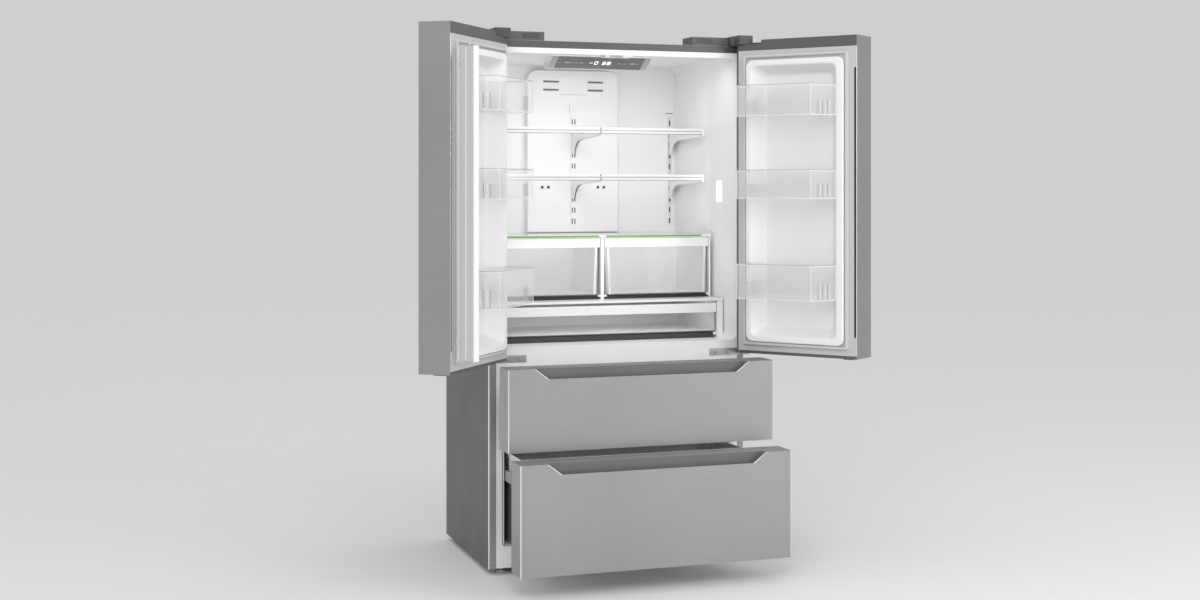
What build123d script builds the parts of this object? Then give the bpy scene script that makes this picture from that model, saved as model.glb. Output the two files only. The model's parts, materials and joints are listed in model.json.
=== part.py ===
from build123d import *
import math
import os

# French-door refrigerator: two hinged doors above two full-width freezer drawers.
# Millimetres, +Z up, the front towards -Y. Every piece is modelled with the doors and
# drawers shut, the cabinet's front face on Y = 0 and the floor on Z = 0, and is moved to
# its place in the open pose when it is written.

os.makedirs("parts", exist_ok=True)

# Clearances
running_gap = 0.3
shaft_gap = 0.05
seat_gap = 0.3

# How far a cutting shape runs past the surface it opens
overcut = 1.0

# Outer case
cabinet_width = 908.0
case_depth = 620.0
case_bottom = 20.0
case_top = 1762.0
sheet = 1.0
front_ply = 2.0
flange_width = 26.0
top_rim_height = 26.0
pan_ply = 2.0
kick_top = 85.0

# Fresh-food compartment
liner_wall = 2.0
food_floor = 748.0
ceiling_fall = 20.0
food_back_wall = 62.0
food_depth = case_depth - food_back_wall
side_draft = 21.0
food_corner = 25.0
header_height = 16.0

# Freezer compartment
freezer_side_wall = 53.0
freezer_half = cabinet_width / 2 - freezer_side_wall
freezer_sill = 97.0
floor_between = 70.0
freezer_ceiling = food_floor - floor_between
freezer_frame_top = freezer_ceiling + 12.0
freezer_back_wall = 100.0
freezer_depth = case_depth - freezer_back_wall
step_run = 120.0
step_depth = freezer_depth - step_run
step_low = 290.0
step_high = 330.0
mid_bar_low = 405.0
mid_bar_high = 446.0
mid_bar_depth = 24.0

# Machine compartment
machine_depth = 189.0
machine_height = 258.0

# Doors and drawer fronts
front_thickness = 107.0
gasket_depth = 12.0
door_gap = 11.0
door_below_floor = 38.0
door_bottom = food_floor - door_below_floor
door_rise = 14.0
door_top = case_top + door_rise
top_cap_height = 36.0
bottom_cap_height = 10.0
door_open_angle = 127.0
axis_from_edge = 10.0
axis_from_rim = 37.0
pin_radius = 4.5
front_lap = 9.0
upper_front_low = mid_bar_high - front_lap
front_gap = 10.0
upper_front_high = door_bottom - front_gap
lower_front_low = kick_top - front_gap
lower_front_high = upper_front_low - 16.0
upper_pull = 134.0
lower_pull = 279.0

# Mullion flap on the left door
flap_half = 37.0
flap_ply = 18.0
flap_z = (food_floor + 5.0, case_top - top_rim_height - 37.0)
flap_round = 6.0
flap_fold = 71.0
pivot_x = -31.0
pivot_y = 12.0

# Places that the sizes above settle
half = cabinet_width / 2
inner_half = half - sheet
opening_half = half - flange_width - liner_wall
food_ceiling = case_top - top_rim_height
rim_y = -gasket_depth
outer_y = rim_y - front_thickness
door_width = (cabinet_width - door_gap) / 2
hinge_x = half - axis_from_edge
hinge_y = rim_y - axis_from_rim
machine_front = case_depth - sheet - machine_depth
machine_top = case_bottom + pan_ply + machine_height


def swung(x, y, degrees):
    """How far forward or back an arm (x, y) reaches after a turn about +Z."""
    turn = math.radians(degrees)
    return x * math.sin(turn) + y * math.cos(turn)


# The folded flap's rounded corner stands furthest forward, and the row's origin is
# under the middle of the space between it and the back panel.
flap_front = (
    hinge_y
    + swung(pivot_x + hinge_x, pivot_y - hinge_y, -door_open_angle)
    + swung(flap_half - flap_round - pivot_x, flap_round - pivot_y, flap_fold - door_open_angle)
    - flap_round
)
centre_y = (case_depth + flap_front) / 2

to_row = Pos(0, -centre_y, 0)
shut = Pos(0, 0, 0)
door_pose = Pos(-hinge_x, hinge_y, 0) * Rot(0, 0, -door_open_angle) * Pos(hinge_x, -hinge_y, 0)
upper_pose = Pos(0, -upper_pull, 0)
lower_pose = Pos(0, -lower_pull, 0)


def save(piece, label, pose=shut, mirrored=False):
    """Move a finished piece to its open pose, label it and write its STEP file."""
    posed = pose * piece
    if mirrored:
        posed = mirror(posed, about=Plane.YZ)
    posed = to_row * posed
    posed.label = label
    export_step(posed, f"parts/{label}.step")


def upright(y):
    """The XZ plane at a depth, with its local axes along +X and +Z."""
    return Plane.XZ.offset(-y)


def block(x, y, z, mode=Mode.ADD):
    """Add a block that spans three (low, high) ranges to the current part."""
    with Locations(((x[0] + x[1]) / 2, (y[0] + y[1]) / 2, (z[0] + z[1]) / 2)):
        Box(abs(x[1] - x[0]), abs(y[1] - y[0]), abs(z[1] - z[0]), mode=mode)


def slab(x, y, z, mode=Mode.ADD):
    """Add a block between x low and high on both sides of the middle plane."""
    for side in (-1, 1):
        block((side * x[0], side * x[1]), y, z, mode)


def rod(x, y, z, radius, mode=Mode.ADD):
    """Add an upright rod at x, y over a (low, high) range of z."""
    with Locations((x, y, (z[0] + z[1]) / 2)):
        Cylinder(radius, z[1] - z[0], mode=mode)


def food_half(y):
    """Half the fresh-food compartment's width at a depth."""
    return opening_half - side_draft * y / food_depth


def food_top(y):
    """Height of the fresh-food compartment's ceiling at a depth."""
    return food_ceiling - ceiling_fall * y / food_depth


def food_space(grow, front, back):
    """The fresh-food compartment between two depths, grown all round by a wall."""
    with BuildPart() as space:
        for y in (front, back):
            with BuildSketch(upright(y)):
                with Locations((0, (food_floor + food_top(y)) / 2)):
                    RectangleRounded(
                        2 * (food_half(y) + grow),
                        food_top(y) - food_floor + 2 * grow,
                        food_corner + grow,
                    )
        loft(ruled=True)
    return space.part


def freezer_space(grow):
    """The stepped freezer compartment, grown all round by a wall."""
    with BuildPart() as space:
        with BuildSketch(Plane.YZ):
            with BuildLine():
                Polyline(
                    (grow, freezer_sill),
                    (step_depth, freezer_sill),
                    (step_depth, step_low),
                    (freezer_depth, step_high),
                    (freezer_depth, freezer_ceiling),
                    (grow, freezer_ceiling),
                    close=True,
                )
            make_face()
            if grow > 0:
                offset(amount=grow, kind=Kind.INTERSECTION)
        extrude(amount=freezer_half + grow, both=True)
    return space.part


# Case: one steel sheet bent over both sides and the top, with hemmed front flanges.
with BuildPart() as case_wrap:
    block((-half, half), (0, case_depth), (case_bottom, case_top))
    block(
        (-inner_half, inner_half),
        (-overcut, case_depth + overcut),
        (case_bottom - overcut, case_top - sheet),
        Mode.SUBTRACT,
    )
    slab((half - flange_width, inner_half), (0, front_ply), (case_bottom, case_top - sheet))
save(case_wrap.part, "case_wrap")

# Back panel above the machine compartment, and the vented cover across it.
vent_slot = (60.0, 4.0)
vent_pitch = (96.0, 16.0)
vent_rows = 7
vent_columns = 8
with BuildPart() as back_panel:
    block((-inner_half, inner_half), (case_depth - sheet, case_depth), (machine_top, case_top - sheet))
save(back_panel.part, "back_panel")

inlet_x = half - 94.0
inlet_z = 70.0
inlet_size = (46.0, 34.0)
with BuildPart() as compressor_cover:
    block(
        (-inner_half, inner_half),
        (case_depth - sheet, case_depth),
        (case_bottom + pan_ply, machine_top - seat_gap),
    )
    with BuildSketch(upright(case_depth)):
        with Locations((0, (case_bottom + machine_top) / 2 + vent_slot[0] / 2)):
            with GridLocations(vent_pitch[0], vent_pitch[1], vent_columns, vent_rows):
                SlotOverall(vent_slot[0], vent_slot[1])
        with Locations((inlet_x, inlet_z)):
            Rectangle(inlet_size[0], inlet_size[1])
    extrude(amount=2 * sheet, mode=Mode.SUBTRACT, both=True)
save(compressor_cover.part, "compressor_cover")

# Power inlet: a recessed three-pin socket that fills its hole in the cover.
inlet_depth = 26.0
inlet_wall = 3.0
inlet_floor = 6.0
blade = (2.0, 6.3)
blade_spacing = 7.0
earth_lift = 4.0
with BuildPart() as power_inlet:
    block(
        (inlet_x - inlet_size[0] / 2 + seat_gap, inlet_x + inlet_size[0] / 2 - seat_gap),
        (case_depth - inlet_depth, case_depth),
        (inlet_z - inlet_size[1] / 2 + seat_gap, inlet_z + inlet_size[1] / 2 - seat_gap),
    )
    with BuildSketch(upright(case_depth)):
        with Locations((inlet_x, inlet_z)):
            RectangleRounded(
                inlet_size[0] - 2 * inlet_wall - 2 * seat_gap,
                inlet_size[1] - 2 * inlet_wall - 2 * seat_gap,
                inlet_wall,
            )
    extrude(amount=inlet_depth - inlet_floor, mode=Mode.SUBTRACT)
    with BuildSketch(upright(case_depth - inlet_depth + inlet_floor)):
        with Locations(
            (inlet_x - blade_spacing, inlet_z),
            (inlet_x, inlet_z + earth_lift),
            (inlet_x + blade_spacing, inlet_z),
        ):
            Rectangle(blade[0], blade[1])
    extrude(amount=inlet_depth - 2 * inlet_floor)
save(power_inlet.part, "power_inlet")

# Rear rollers and the base pan that carries them on short ears.
roller_x = half - 54.0
roller_y = case_depth - 38.0
roller_radius = 15.0
roller_width = 14.0
roller_play = 0.5
roller_chamfer = 1.0
ear_ply = 2.0
ear_half = 12.0
ear_bottom = 8.0
axle_radius = 3.0
slot_half = 17.0
ear_in = roller_width / 2 + roller_play
ear_out = ear_in + ear_ply
with BuildPart() as base_pan:
    block(
        (-inner_half, inner_half),
        (front_ply, case_depth - sheet),
        (case_bottom, case_bottom + pan_ply),
    )
    for side in (-1, 1):
        middle = side * roller_x
        block(
            (middle - ear_in, middle + ear_in),
            (roller_y - slot_half, roller_y + slot_half),
            (case_bottom - pan_ply, case_bottom + 2 * pan_ply),
            Mode.SUBTRACT,
        )
        for cheek in (-1, 1):
            block(
                (middle + cheek * ear_in, middle + cheek * ear_out),
                (roller_y - ear_half, roller_y + ear_half),
                (ear_bottom, case_bottom),
            )
        with Locations((middle, roller_y, roller_radius)):
            Cylinder(axle_radius, 2 * ear_out, rotation=(0, 90, 0))
save(base_pan.part, "base_pan")

for side, hand in ((-1, "left"), (1, "right")):
    with BuildPart() as roller:
        with BuildSketch(Plane.YZ.offset(side * roller_x - roller_width / 2)):
            with Locations((roller_y, roller_radius)):
                Circle(roller_radius)
                Circle(axle_radius + shaft_gap, mode=Mode.SUBTRACT)
        extrude(amount=roller_width)
        rim_edges = roller.edges().filter_by(GeomType.CIRCLE).group_by(SortBy.RADIUS)[-1]
        chamfer(rim_edges, roller_chamfer)
    save(roller.part, f"roller_{hand}")

# Front levelling feet: a disc, a stem and the nut under the base pan.
foot_x = half - 54.0
foot_y = 45.0
foot_radius = 19.0
foot_height = 8.0
stem_radius = 5.0
nut_radius = 9.0
nut_height = 5.0
with BuildPart() as front_feet:
    for side in (-1, 1):
        rod(side * foot_x, foot_y, (0, foot_height), foot_radius)
        rod(side * foot_x, foot_y, (foot_height, case_bottom), stem_radius)
        with BuildSketch(Plane.XY.offset(case_bottom - nut_height)):
            with Locations((side * foot_x, foot_y)):
                RegularPolygon(nut_radius, 6)
        extrude(amount=nut_height)
save(front_feet.part, "front_feet")

# Foam between the case and the two liners.
food_outer = food_space(liner_wall, 0, food_depth + liner_wall)
food_inner = food_space(0, front_ply, food_depth)
freezer_outer = freezer_space(liner_wall)
freezer_inner = freezer_space(0)
with BuildPart() as insulation:
    block(
        (-inner_half, inner_half),
        (front_ply, case_depth - sheet),
        (case_bottom + pan_ply, case_top - sheet),
    )
    add(food_outer, mode=Mode.SUBTRACT)
    add(freezer_outer, mode=Mode.SUBTRACT)
    block(
        (-inner_half, inner_half),
        (machine_front, case_depth),
        (case_bottom, machine_top),
        Mode.SUBTRACT,
    )
save(insulation.part, "insulation")

# Fresh-food liner: a drafted tub with a square front lip and a header over the opening.
with BuildPart() as fridge_liner:
    add(food_outer)
    block(
        (-opening_half - liner_wall, opening_half + liner_wall),
        (0, front_ply),
        (food_floor - liner_wall, food_ceiling + liner_wall),
    )
    add(food_inner, mode=Mode.SUBTRACT)
    with BuildSketch(upright(0)):
        with Locations((0, (food_floor + food_ceiling - header_height) / 2)):
            RectangleRounded(2 * opening_half, food_ceiling - header_height - food_floor, food_corner)
    extrude(amount=-front_ply, mode=Mode.SUBTRACT)
save(fridge_liner.part, "fridge_liner")

# Freezer liner: a stepped tub with a flat white frame round its mouth.
with BuildPart() as freezer_liner:
    add(freezer_outer)
    block(
        (-opening_half - liner_wall, opening_half + liner_wall),
        (0, front_ply),
        (kick_top, freezer_frame_top),
    )
    add(freezer_inner, mode=Mode.SUBTRACT)
    block(
        (-freezer_half, freezer_half),
        (-front_ply, 2 * front_ply),
        (freezer_sill, freezer_ceiling),
        Mode.SUBTRACT,
    )
save(freezer_liner.part, "freezer_liner")

# Cross members of the front: top rim, bar under the doors, channel between the drawers.
with BuildPart() as front_frame:
    plate_half = half - flange_width
    block((-plate_half, plate_half), (0, front_ply), (food_ceiling + liner_wall, case_top - sheet))
    block((-plate_half, plate_half), (0, front_ply), (freezer_frame_top, food_floor - liner_wall))
    with BuildSketch(Plane.YZ):
        with BuildLine():
            Polyline(
                (0, mid_bar_low),
                (mid_bar_depth, mid_bar_low),
                (mid_bar_depth, mid_bar_low + front_ply),
                (front_ply, mid_bar_low + front_ply),
                (front_ply, mid_bar_high - front_ply),
                (mid_bar_depth, mid_bar_high - front_ply),
                (mid_bar_depth, mid_bar_high),
                (0, mid_bar_high),
                close=True,
            )
        make_face()
    extrude(amount=freezer_half, both=True)
save(front_frame.part, "front_frame")

with BuildPart() as kick_plate:
    block(
        (-opening_half - liner_wall, opening_half + liner_wall),
        (0, front_ply),
        (case_bottom + pan_ply, kick_top),
    )
save(kick_plate.part, "kick_plate")

# Hinges: a plate with a pin over each door, and a bracket with a pin under it.
plate_ply = 4.0
plate_x = (half - 164.0, half - 24.0)
plate_y = (8.0, 80.0)
arm_in = half - 29.0
arm_out = half - 3.0
arm_front = hinge_y - 9.0
notch_drop = 14.5
pin_depth = 18.0
bolt_radius = 6.0
bolt_height = 3.5
bolt_inset = (20.0, 18.0)
bar_bracket_x = half - 128.0
bar_bracket_z = (door_bottom - 13.0, door_bottom + 11.0)
bar_bracket_ply = 3.0
lower_arm_z = (door_bottom - 8.0, door_bottom - 4.0)
lower_pin_top = door_bottom + 8.0
with BuildPart() as hinge_brackets:
    for side in (-1, 1):
        block((side * plate_x[0], side * plate_x[1]), plate_y, (case_top, case_top + plate_ply))
        block((side * arm_in, side * arm_out), (arm_front, plate_y[1]), (case_top, case_top + plate_ply))
        rod(side * hinge_x, hinge_y, (case_top - pin_depth, case_top + plate_ply), pin_radius)
        with BuildSketch(Plane.XY.offset(case_top + plate_ply)):
            with Locations((side * (plate_x[0] + plate_x[1]) / 2, (plate_y[0] + plate_y[1]) / 2)):
                with GridLocations(
                    plate_x[1] - plate_x[0] - 2 * bolt_inset[0],
                    plate_y[1] - plate_y[0] - 2 * bolt_inset[1],
                    2,
                    2,
                ):
                    RegularPolygon(bolt_radius, 6)
        extrude(amount=bolt_height)
        block((side * bar_bracket_x, side * half), (-bar_bracket_ply, 0), bar_bracket_z)
        block((side * arm_in, side * arm_out), (arm_front, -bar_bracket_ply), lower_arm_z)
        rod(side * hinge_x, hinge_y, (lower_arm_z[0], lower_pin_top), pin_radius)
save(hinge_brackets.part, "hinge_brackets")

# Hinge covers: open-bottomed shells over the plates and over each pin.
cover_top = case_top + 32.0
cover_in = half - 192.0
cover_back = 95.0
cover_front = -85.0
cover_step = 3.0
cover_nose_in = half - 54.0
cover_wall = 2.5
cover_round = 8.0
with BuildPart() as hinge_covers:
    for side in (-1, 1):
        with BuildSketch(Plane.XY.offset(case_top)) as outline:
            with BuildLine():
                Polyline(
                    (side * cover_in, cover_step),
                    (side * cover_in, cover_back),
                    (side * half, cover_back),
                    (side * half, cover_front),
                    (side * cover_nose_in, cover_front),
                    (side * cover_nose_in, cover_step),
                    close=True,
                )
            make_face()
            fillet(outline.vertices().group_by(Axis.Y)[0], cover_round)
        extrude(amount=cover_top - case_top)
        with BuildSketch(Plane.XY.offset(case_top)):
            add(outline.sketch)
            offset(amount=-cover_wall, kind=Kind.INTERSECTION)
        extrude(amount=cover_top - case_top - cover_wall, mode=Mode.SUBTRACT)
save(hinge_covers.part, "hinge_covers")

# Air duct panel on the back wall, with two rows of vents and a shallow slot.
duct_half = 175.0
duct_thickness = 25.0
duct_face = food_depth - duct_thickness
duct_z = (food_floor + 362.0, food_ceiling - 32.0)
duct_corner = 40.0
duct_round = 6.0
vent_x = (55.0, 115.0)
vent_z = (duct_z[1] - 43.0, duct_z[1] - 73.0)
vent_height = 7.0
vent_sink = 10.0
low_slot_z = duct_z[1] - 223.0
dot_x = (95.0, 118.0)
dot_z = duct_z[1] - 429.0
dot_size = 10.0
with BuildPart() as duct_panel:
    block((-duct_half, duct_half), (duct_face, food_depth), duct_z)
    upper_edges = duct_panel.edges().filter_by(Axis.Y).group_by(Axis.Z)[-1]
    fillet(upper_edges, duct_corner)
    front_edges = duct_panel.faces().sort_by(Axis.Y)[0].edges()
    fillet(front_edges, duct_round)
    with BuildSketch(upright(duct_face)):
        for z in vent_z:
            for side in (-1, 1):
                with Locations((side * (vent_x[0] + vent_x[1]) / 2, z)):
                    Rectangle(vent_x[1] - vent_x[0], vent_height)
        with Locations((-(vent_x[0] + vent_x[1]) / 2, low_slot_z)):
            Rectangle(vent_x[1] - vent_x[0], vent_height)
        for side in (-1, 1):
            with Locations((side * dot_x[0], dot_z), (side * dot_x[1], dot_z)):
                Rectangle(dot_size, dot_size)
    extrude(amount=-vent_sink, mode=Mode.SUBTRACT)
save(duct_panel.part, "duct_panel")

# Shelf ladders: slotted steel strips, one on the duct and one beside each side wall.
ladder_ply = 3.0
ladder_width = 22.0
ladder_cap = 30.0
ladder_gap = 3.0
slot_count = 10
slot_pitch = 40.5
first_slot = food_floor + 402.0
ladder_z = (first_slot - 17.0, first_slot + (slot_count - 1) * slot_pitch + 35.5)
slot_height = 19.0
slot_width = 4.5
side_ladder_x = half - 70.0
centre_slot_x = 5.0
hook_columns = {0: (-centre_slot_x, centre_slot_x), 1: (side_ladder_x,), -1: (-side_ladder_x,)}
with BuildPart() as shelf_ladders:
    for side, columns in hook_columns.items():
        middle = side * side_ladder_x
        back = duct_face if side == 0 else food_depth
        block(
            (middle - ladder_width / 2, middle + ladder_width / 2), (back - ladder_ply, back), ladder_z
        )
        with BuildSketch(upright(back - ladder_ply)):
            for column in columns:
                for row in range(slot_count):
                    with Locations((column, first_slot + row * slot_pitch)):
                        Rectangle(slot_width, slot_height)
        extrude(amount=-ladder_ply, mode=Mode.SUBTRACT)
        if side == 0:
            cap_low = ladder_z[1] + ladder_gap
            block(
                (-ladder_cap / 2, ladder_cap / 2),
                (back - 2 * ladder_ply, back),
                (cap_low, cap_low + ladder_cap),
            )
save(shelf_ladders.part, "shelf_ladders")

# Half-width glass shelves on cantilever frames that hook into the ladders.
shelf_tops = (first_slot + 333.0, first_slot + 170.0)
shelf_front = 205.0
shelf_back = duct_face - 4.0
shelf_inner = 3.0
shelf_outer = side_ladder_x + 1.5
trim_height = 20.0
trim_depth = 8.0
glass_ply = 4.0
arm_ply = 3.0
arm_front_drop = 25.0
arm_mid_drop = 36.0
arm_root_drop = 88.0
arm_mid_run = 90.0
arm_foot_run = 18.0
arm_mid_slope = (1.0, -0.12)
arm_foot_slope = (0.25, -1.0)
tab_height = 16.0
tab_depth = 2.7
with BuildPart() as shelf_frames:
    for top in shelf_tops:
        for side in (-1, 1):
            block(
                (side * shelf_inner, side * shelf_outer),
                (shelf_front, shelf_front + trim_depth),
                (top - trim_height, top),
            )
            for column, wall in ((centre_slot_x, duct_face), (side_ladder_x, food_depth)):
                root = wall - ladder_ply - seat_gap
                low = top - glass_ply
                with BuildSketch(Plane.YZ.offset(side * column - arm_ply / 2)):
                    with BuildLine():
                        front_low = (shelf_front + trim_depth, top - arm_front_drop)
                        bend = (root - arm_mid_run, top - arm_mid_drop)
                        foot = (root - arm_foot_run, top - arm_root_drop)
                        Line((shelf_front + trim_depth, low), front_low)
                        Line(front_low, bend)
                        Spline(bend, foot, tangents=[arm_mid_slope, arm_foot_slope])
                        Line(foot, (root, top - arm_root_drop))
                        Line((root, top - arm_root_drop), (root, low))
                        Line((root, low), (shelf_front + trim_depth, low))
                    make_face()
                extrude(amount=arm_ply)
                slot_row = math.floor((top - arm_root_drop + tab_height - first_slot) / slot_pitch) + 1
                tab_z = first_slot + slot_row * slot_pitch
                block(
                    (side * column - arm_ply / 2, side * column + arm_ply / 2),
                    (root, root + seat_gap + tab_depth),
                    (tab_z - tab_height / 2, tab_z + tab_height / 2),
                )
save(shelf_frames.part, "shelf_frames")

with BuildPart() as shelf_glass:
    for top in shelf_tops:
        slab((shelf_inner, shelf_outer), (shelf_front + trim_depth, shelf_back), (top - glass_ply, top))
save(shelf_glass.part, "shelf_glass")

# Crisper cover, its frame with a middle divider, and two clear crispers on low ledges.
cover_z = (food_floor + 356.0, food_floor + 361.0)
cover_shelf_front = 185.0
cover_half = half - 50.0
cover_overhang = 3.0
frame_front = cover_shelf_front + cover_overhang
frame_rail_z = (cover_z[0] - 5.0, cover_z[0])
frame_rail_depth = 10.0
divider_half = 6.0
side_post = cover_half - 6.0
unit_back = food_depth - 18.0
unit_floor = food_floor + 138.0
ledge_reach = 10.0
crisper_floor = unit_floor + 15.0
ledge_z = (unit_floor + 8.0, crisper_floor - running_gap)
crisper_trim_z = (cover_z[0] - 38.0, cover_z[0] - 7.0)
crisper_lip = 4.0
crisper_trim_depth = 18.0
crisper_front = 192.0
crisper_lean = 15.0
crisper_draft = 8.0
crisper_back = unit_back - 40.0
crisper_wall = 3.0
crisper_side_play = 2.0
crisper_corner = 18.0
with BuildPart() as crisper_cover:
    block((-cover_half, cover_half), (cover_shelf_front, food_depth - seat_gap), cover_z)
save(crisper_cover.part, "crisper_cover")

with BuildPart() as crisper_frame:
    block(
        (-cover_half, cover_half),
        (frame_front, frame_front + frame_rail_depth),
        frame_rail_z,
    )
    block((-divider_half, divider_half), (frame_front, unit_back), (unit_floor, frame_rail_z[1]))
    block(
        (-divider_half - ledge_reach, divider_half + ledge_reach),
        (frame_front, unit_back),
        ledge_z,
    )
    slab((side_post, cover_half), (frame_front, unit_back), (unit_floor, frame_rail_z[1]))
    slab((side_post - ledge_reach, side_post), (frame_front, unit_back), ledge_z)
save(crisper_frame.part, "crisper_frame")

for side, hand in ((-1, "left"), (1, "right")):
    inner = divider_half + crisper_side_play
    outer = side_post - crisper_side_play
    middle = side * (inner + outer) / 2
    width = outer - inner
    with BuildPart() as crisper:
        for shrink, mode in ((0, Mode.ADD), (crisper_wall, Mode.SUBTRACT)):
            floor_z = crisper_floor + shrink
            levels = (
                (floor_z, width - 2 * crisper_draft, crisper_front - crisper_lean),
                (crisper_trim_z[0], width, crisper_front),
            )
            for z, wide, front in levels:
                with BuildSketch(Plane.XY.offset(z)):
                    with Locations((middle, (front + crisper_back) / 2)):
                        RectangleRounded(
                            wide - 2 * shrink, crisper_back - front - 2 * shrink, crisper_corner - shrink
                        )
            loft(ruled=True, mode=mode)
        block(
            (middle - width / 2, middle + width / 2),
            (crisper_front - crisper_lip, crisper_front - crisper_lip + crisper_trim_depth),
            crisper_trim_z,
        )
    save(crisper.part, f"crisper_{hand}")

# Wide deli drawer under its own cover shelf, between two side guides on the liner floor.
deli_cover_z = (unit_floor - 8.0, unit_floor)
deli_front = 100.0
deli_post_in = half - 59.0
deli_post_out = half - 37.0
deli_post_set = 4.0
deli_wall_gap = 2.0
deli_ledge_reach = 11.0
deli_ledge_set = 12.0
deli_floor = food_floor + 20.0
deli_ledge_z = (food_floor + 10.0, deli_floor - running_gap)
deli_trim_z = (unit_floor - 49.0, unit_floor - 17.0)
deli_drawer_front = 108.0
deli_drawer_back = unit_back - 50.0
deli_lip = 4.0
deli_trim_depth = 16.0
deli_side_play = 2.0
deli_wall = 4.0
food_clear = food_space(-seat_gap, 0, food_depth)


def deli_edge(y):
    """How far out the deli housing reaches at a depth, short of the tapering liner."""
    return min(deli_post_out, food_half(y) - deli_wall_gap)


with BuildPart() as deli_housing:
    with BuildSketch(Plane.XY.offset(deli_cover_z[0])):
        with BuildLine():
            Polyline(
                (-deli_edge(deli_front), deli_front),
                (deli_edge(deli_front), deli_front),
                (deli_edge(unit_back), unit_back),
                (-deli_edge(unit_back), unit_back),
                close=True,
            )
        make_face()
    extrude(amount=deli_cover_z[1] - deli_cover_z[0])
    for side in (-1, 1):
        with BuildSketch(Plane.XY.offset(food_floor)):
            with BuildLine():
                Polyline(
                    (side * deli_post_in, deli_front + deli_post_set),
                    (side * deli_edge(deli_front), deli_front + deli_post_set),
                    (side * deli_edge(unit_back), unit_back),
                    (side * deli_post_in, unit_back),
                    close=True,
                )
            make_face()
        extrude(amount=deli_cover_z[0] - food_floor)
        block(
            (side * (deli_post_in - deli_ledge_reach), side * deli_post_in),
            (deli_front + deli_ledge_set, unit_back),
            deli_ledge_z,
        )
    add(food_clear, mode=Mode.INTERSECT)
save(deli_housing.part, "deli_housing")

with BuildPart() as deli_drawer:
    deli_half = deli_post_in - deli_side_play
    block((-deli_half, deli_half), (deli_drawer_front, deli_drawer_back), (deli_floor, deli_trim_z[0]))
    block(
        (-deli_half + deli_wall, deli_half - deli_wall),
        (deli_drawer_front + deli_wall, deli_drawer_back - deli_wall),
        (deli_floor + deli_wall, deli_trim_z[1]),
        Mode.SUBTRACT,
    )
save(deli_drawer.part, "deli_drawer")

# White rail along the top of the deli drawer's front.
with BuildPart() as deli_trim:
    block(
        (-deli_half, deli_half),
        (deli_drawer_front - deli_lip, deli_drawer_front - deli_lip + deli_trim_depth),
        deli_trim_z,
    )
save(deli_trim.part, "deli_trim")

# Control panel under the ceiling: a slanted face with two small press keys.
panel_half = 180.0
face_top = (185.0, food_ceiling - 9.0)
face_low = (250.0, food_ceiling - 46.0)
panel_back = 300.0
panel_chin = 8.0
key_x = 120.0
key_size = (16.0, 9.0)
key_sink = 1.2
key_stand = 0.8
key_pocket = 2.2
key_round = 1.5
face_run = (face_low[0] - face_top[0], face_low[1] - face_top[1])
face_length = math.hypot(face_run[0], face_run[1])
face_normal = (0, face_run[1] / face_length, -face_run[0] / face_length)
face_plane = Plane(
    origin=(0, (face_top[0] + face_low[0]) / 2, (face_top[1] + face_low[1]) / 2),
    x_dir=(1, 0, 0),
    z_dir=face_normal,
)
with BuildPart() as control_panel:
    with BuildSketch(Plane.YZ.offset(-panel_half)):
        with BuildLine():
            Polyline(
                (face_top[0], food_top(face_top[0])),
                face_top,
                face_low,
                (panel_back - panel_chin, face_low[1]),
                (panel_back, face_low[1] + panel_chin),
                (panel_back, food_top(panel_back)),
                close=True,
            )
        make_face()
    extrude(amount=2 * panel_half)
    with BuildSketch(face_plane):
        with Locations((-key_x, 0), (key_x, 0)):
            Rectangle(key_size[0] + 2 * running_gap, key_size[1] + 2 * running_gap)
    extrude(amount=-key_pocket, mode=Mode.SUBTRACT)
save(control_panel.part, "control_panel")

for side, hand in ((-1, "left"), (1, "right")):
    with BuildPart() as key:
        with BuildSketch(face_plane.offset(-key_sink)):
            with Locations((side * key_x, 0)):
                RectangleRounded(key_size[0], key_size[1], key_round)
        extrude(amount=key_sink + key_stand)
    save(key.part, f"key_{hand}")

# Lamp strips, one on each side wall.
lamp_z = (food_floor + 475.0, food_floor + 549.0)
lamp_y = (124.0, 162.0)
lamp_ply = 4.0
with BuildPart() as wall_lamps:
    for side in (-1, 1):
        with BuildSketch(Plane.XY.offset(lamp_z[0])):
            with BuildLine():
                Polyline(
                    (side * food_half(lamp_y[0]), lamp_y[0]),
                    (side * food_half(lamp_y[1]), lamp_y[1]),
                    (side * (food_half(lamp_y[1]) - lamp_ply), lamp_y[1]),
                    (side * (food_half(lamp_y[0]) - lamp_ply), lamp_y[0]),
                    close=True,
                )
            make_face()
        extrude(amount=lamp_z[1] - lamp_z[0])
save(wall_lamps.part, "wall_lamps")

# Mullion flap: it hangs on the left door, covers the gap between the doors from
# behind, and folds back beside the door as the door opens.
pivot_radius = 2.5
pivot_reach = 8.0
knuckle_z = (flap_z[0] + 47.0, flap_z[1] - 59.0)
knuckle_half = 6.7
knuckle_radius = 6.0
notch_in = 9.0
cam_radius = 4.0
cam_top = food_ceiling - 17.5
knuckle_root = 12.0
flap_pose = door_pose * Pos(pivot_x, pivot_y, 0) * Rot(0, 0, flap_fold) * Pos(-pivot_x, -pivot_y, 0)
with BuildPart() as mullion_flap:
    with BuildSketch(Plane.XY.offset(flap_z[0])) as flap_section:
        with Locations((0, flap_ply / 2)):
            Rectangle(2 * flap_half, flap_ply)
        fillet(flap_section.vertices().group_by(Axis.Y)[0], flap_round)
    extrude(amount=flap_z[1] - flap_z[0])
    for z in knuckle_z:
        notch_half = knuckle_half + running_gap
        block(
            (-flap_half - running_gap, pivot_x + notch_in),
            (-running_gap, flap_ply + running_gap),
            (z - notch_half, z + notch_half),
            Mode.SUBTRACT,
        )
        rod(
            pivot_x,
            pivot_y,
            (z - notch_half - pivot_reach, z + notch_half + pivot_reach),
            pivot_radius + shaft_gap,
            Mode.SUBTRACT,
        )
    rod(0, pivot_y, (flap_z[1], cam_top), cam_radius)
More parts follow.
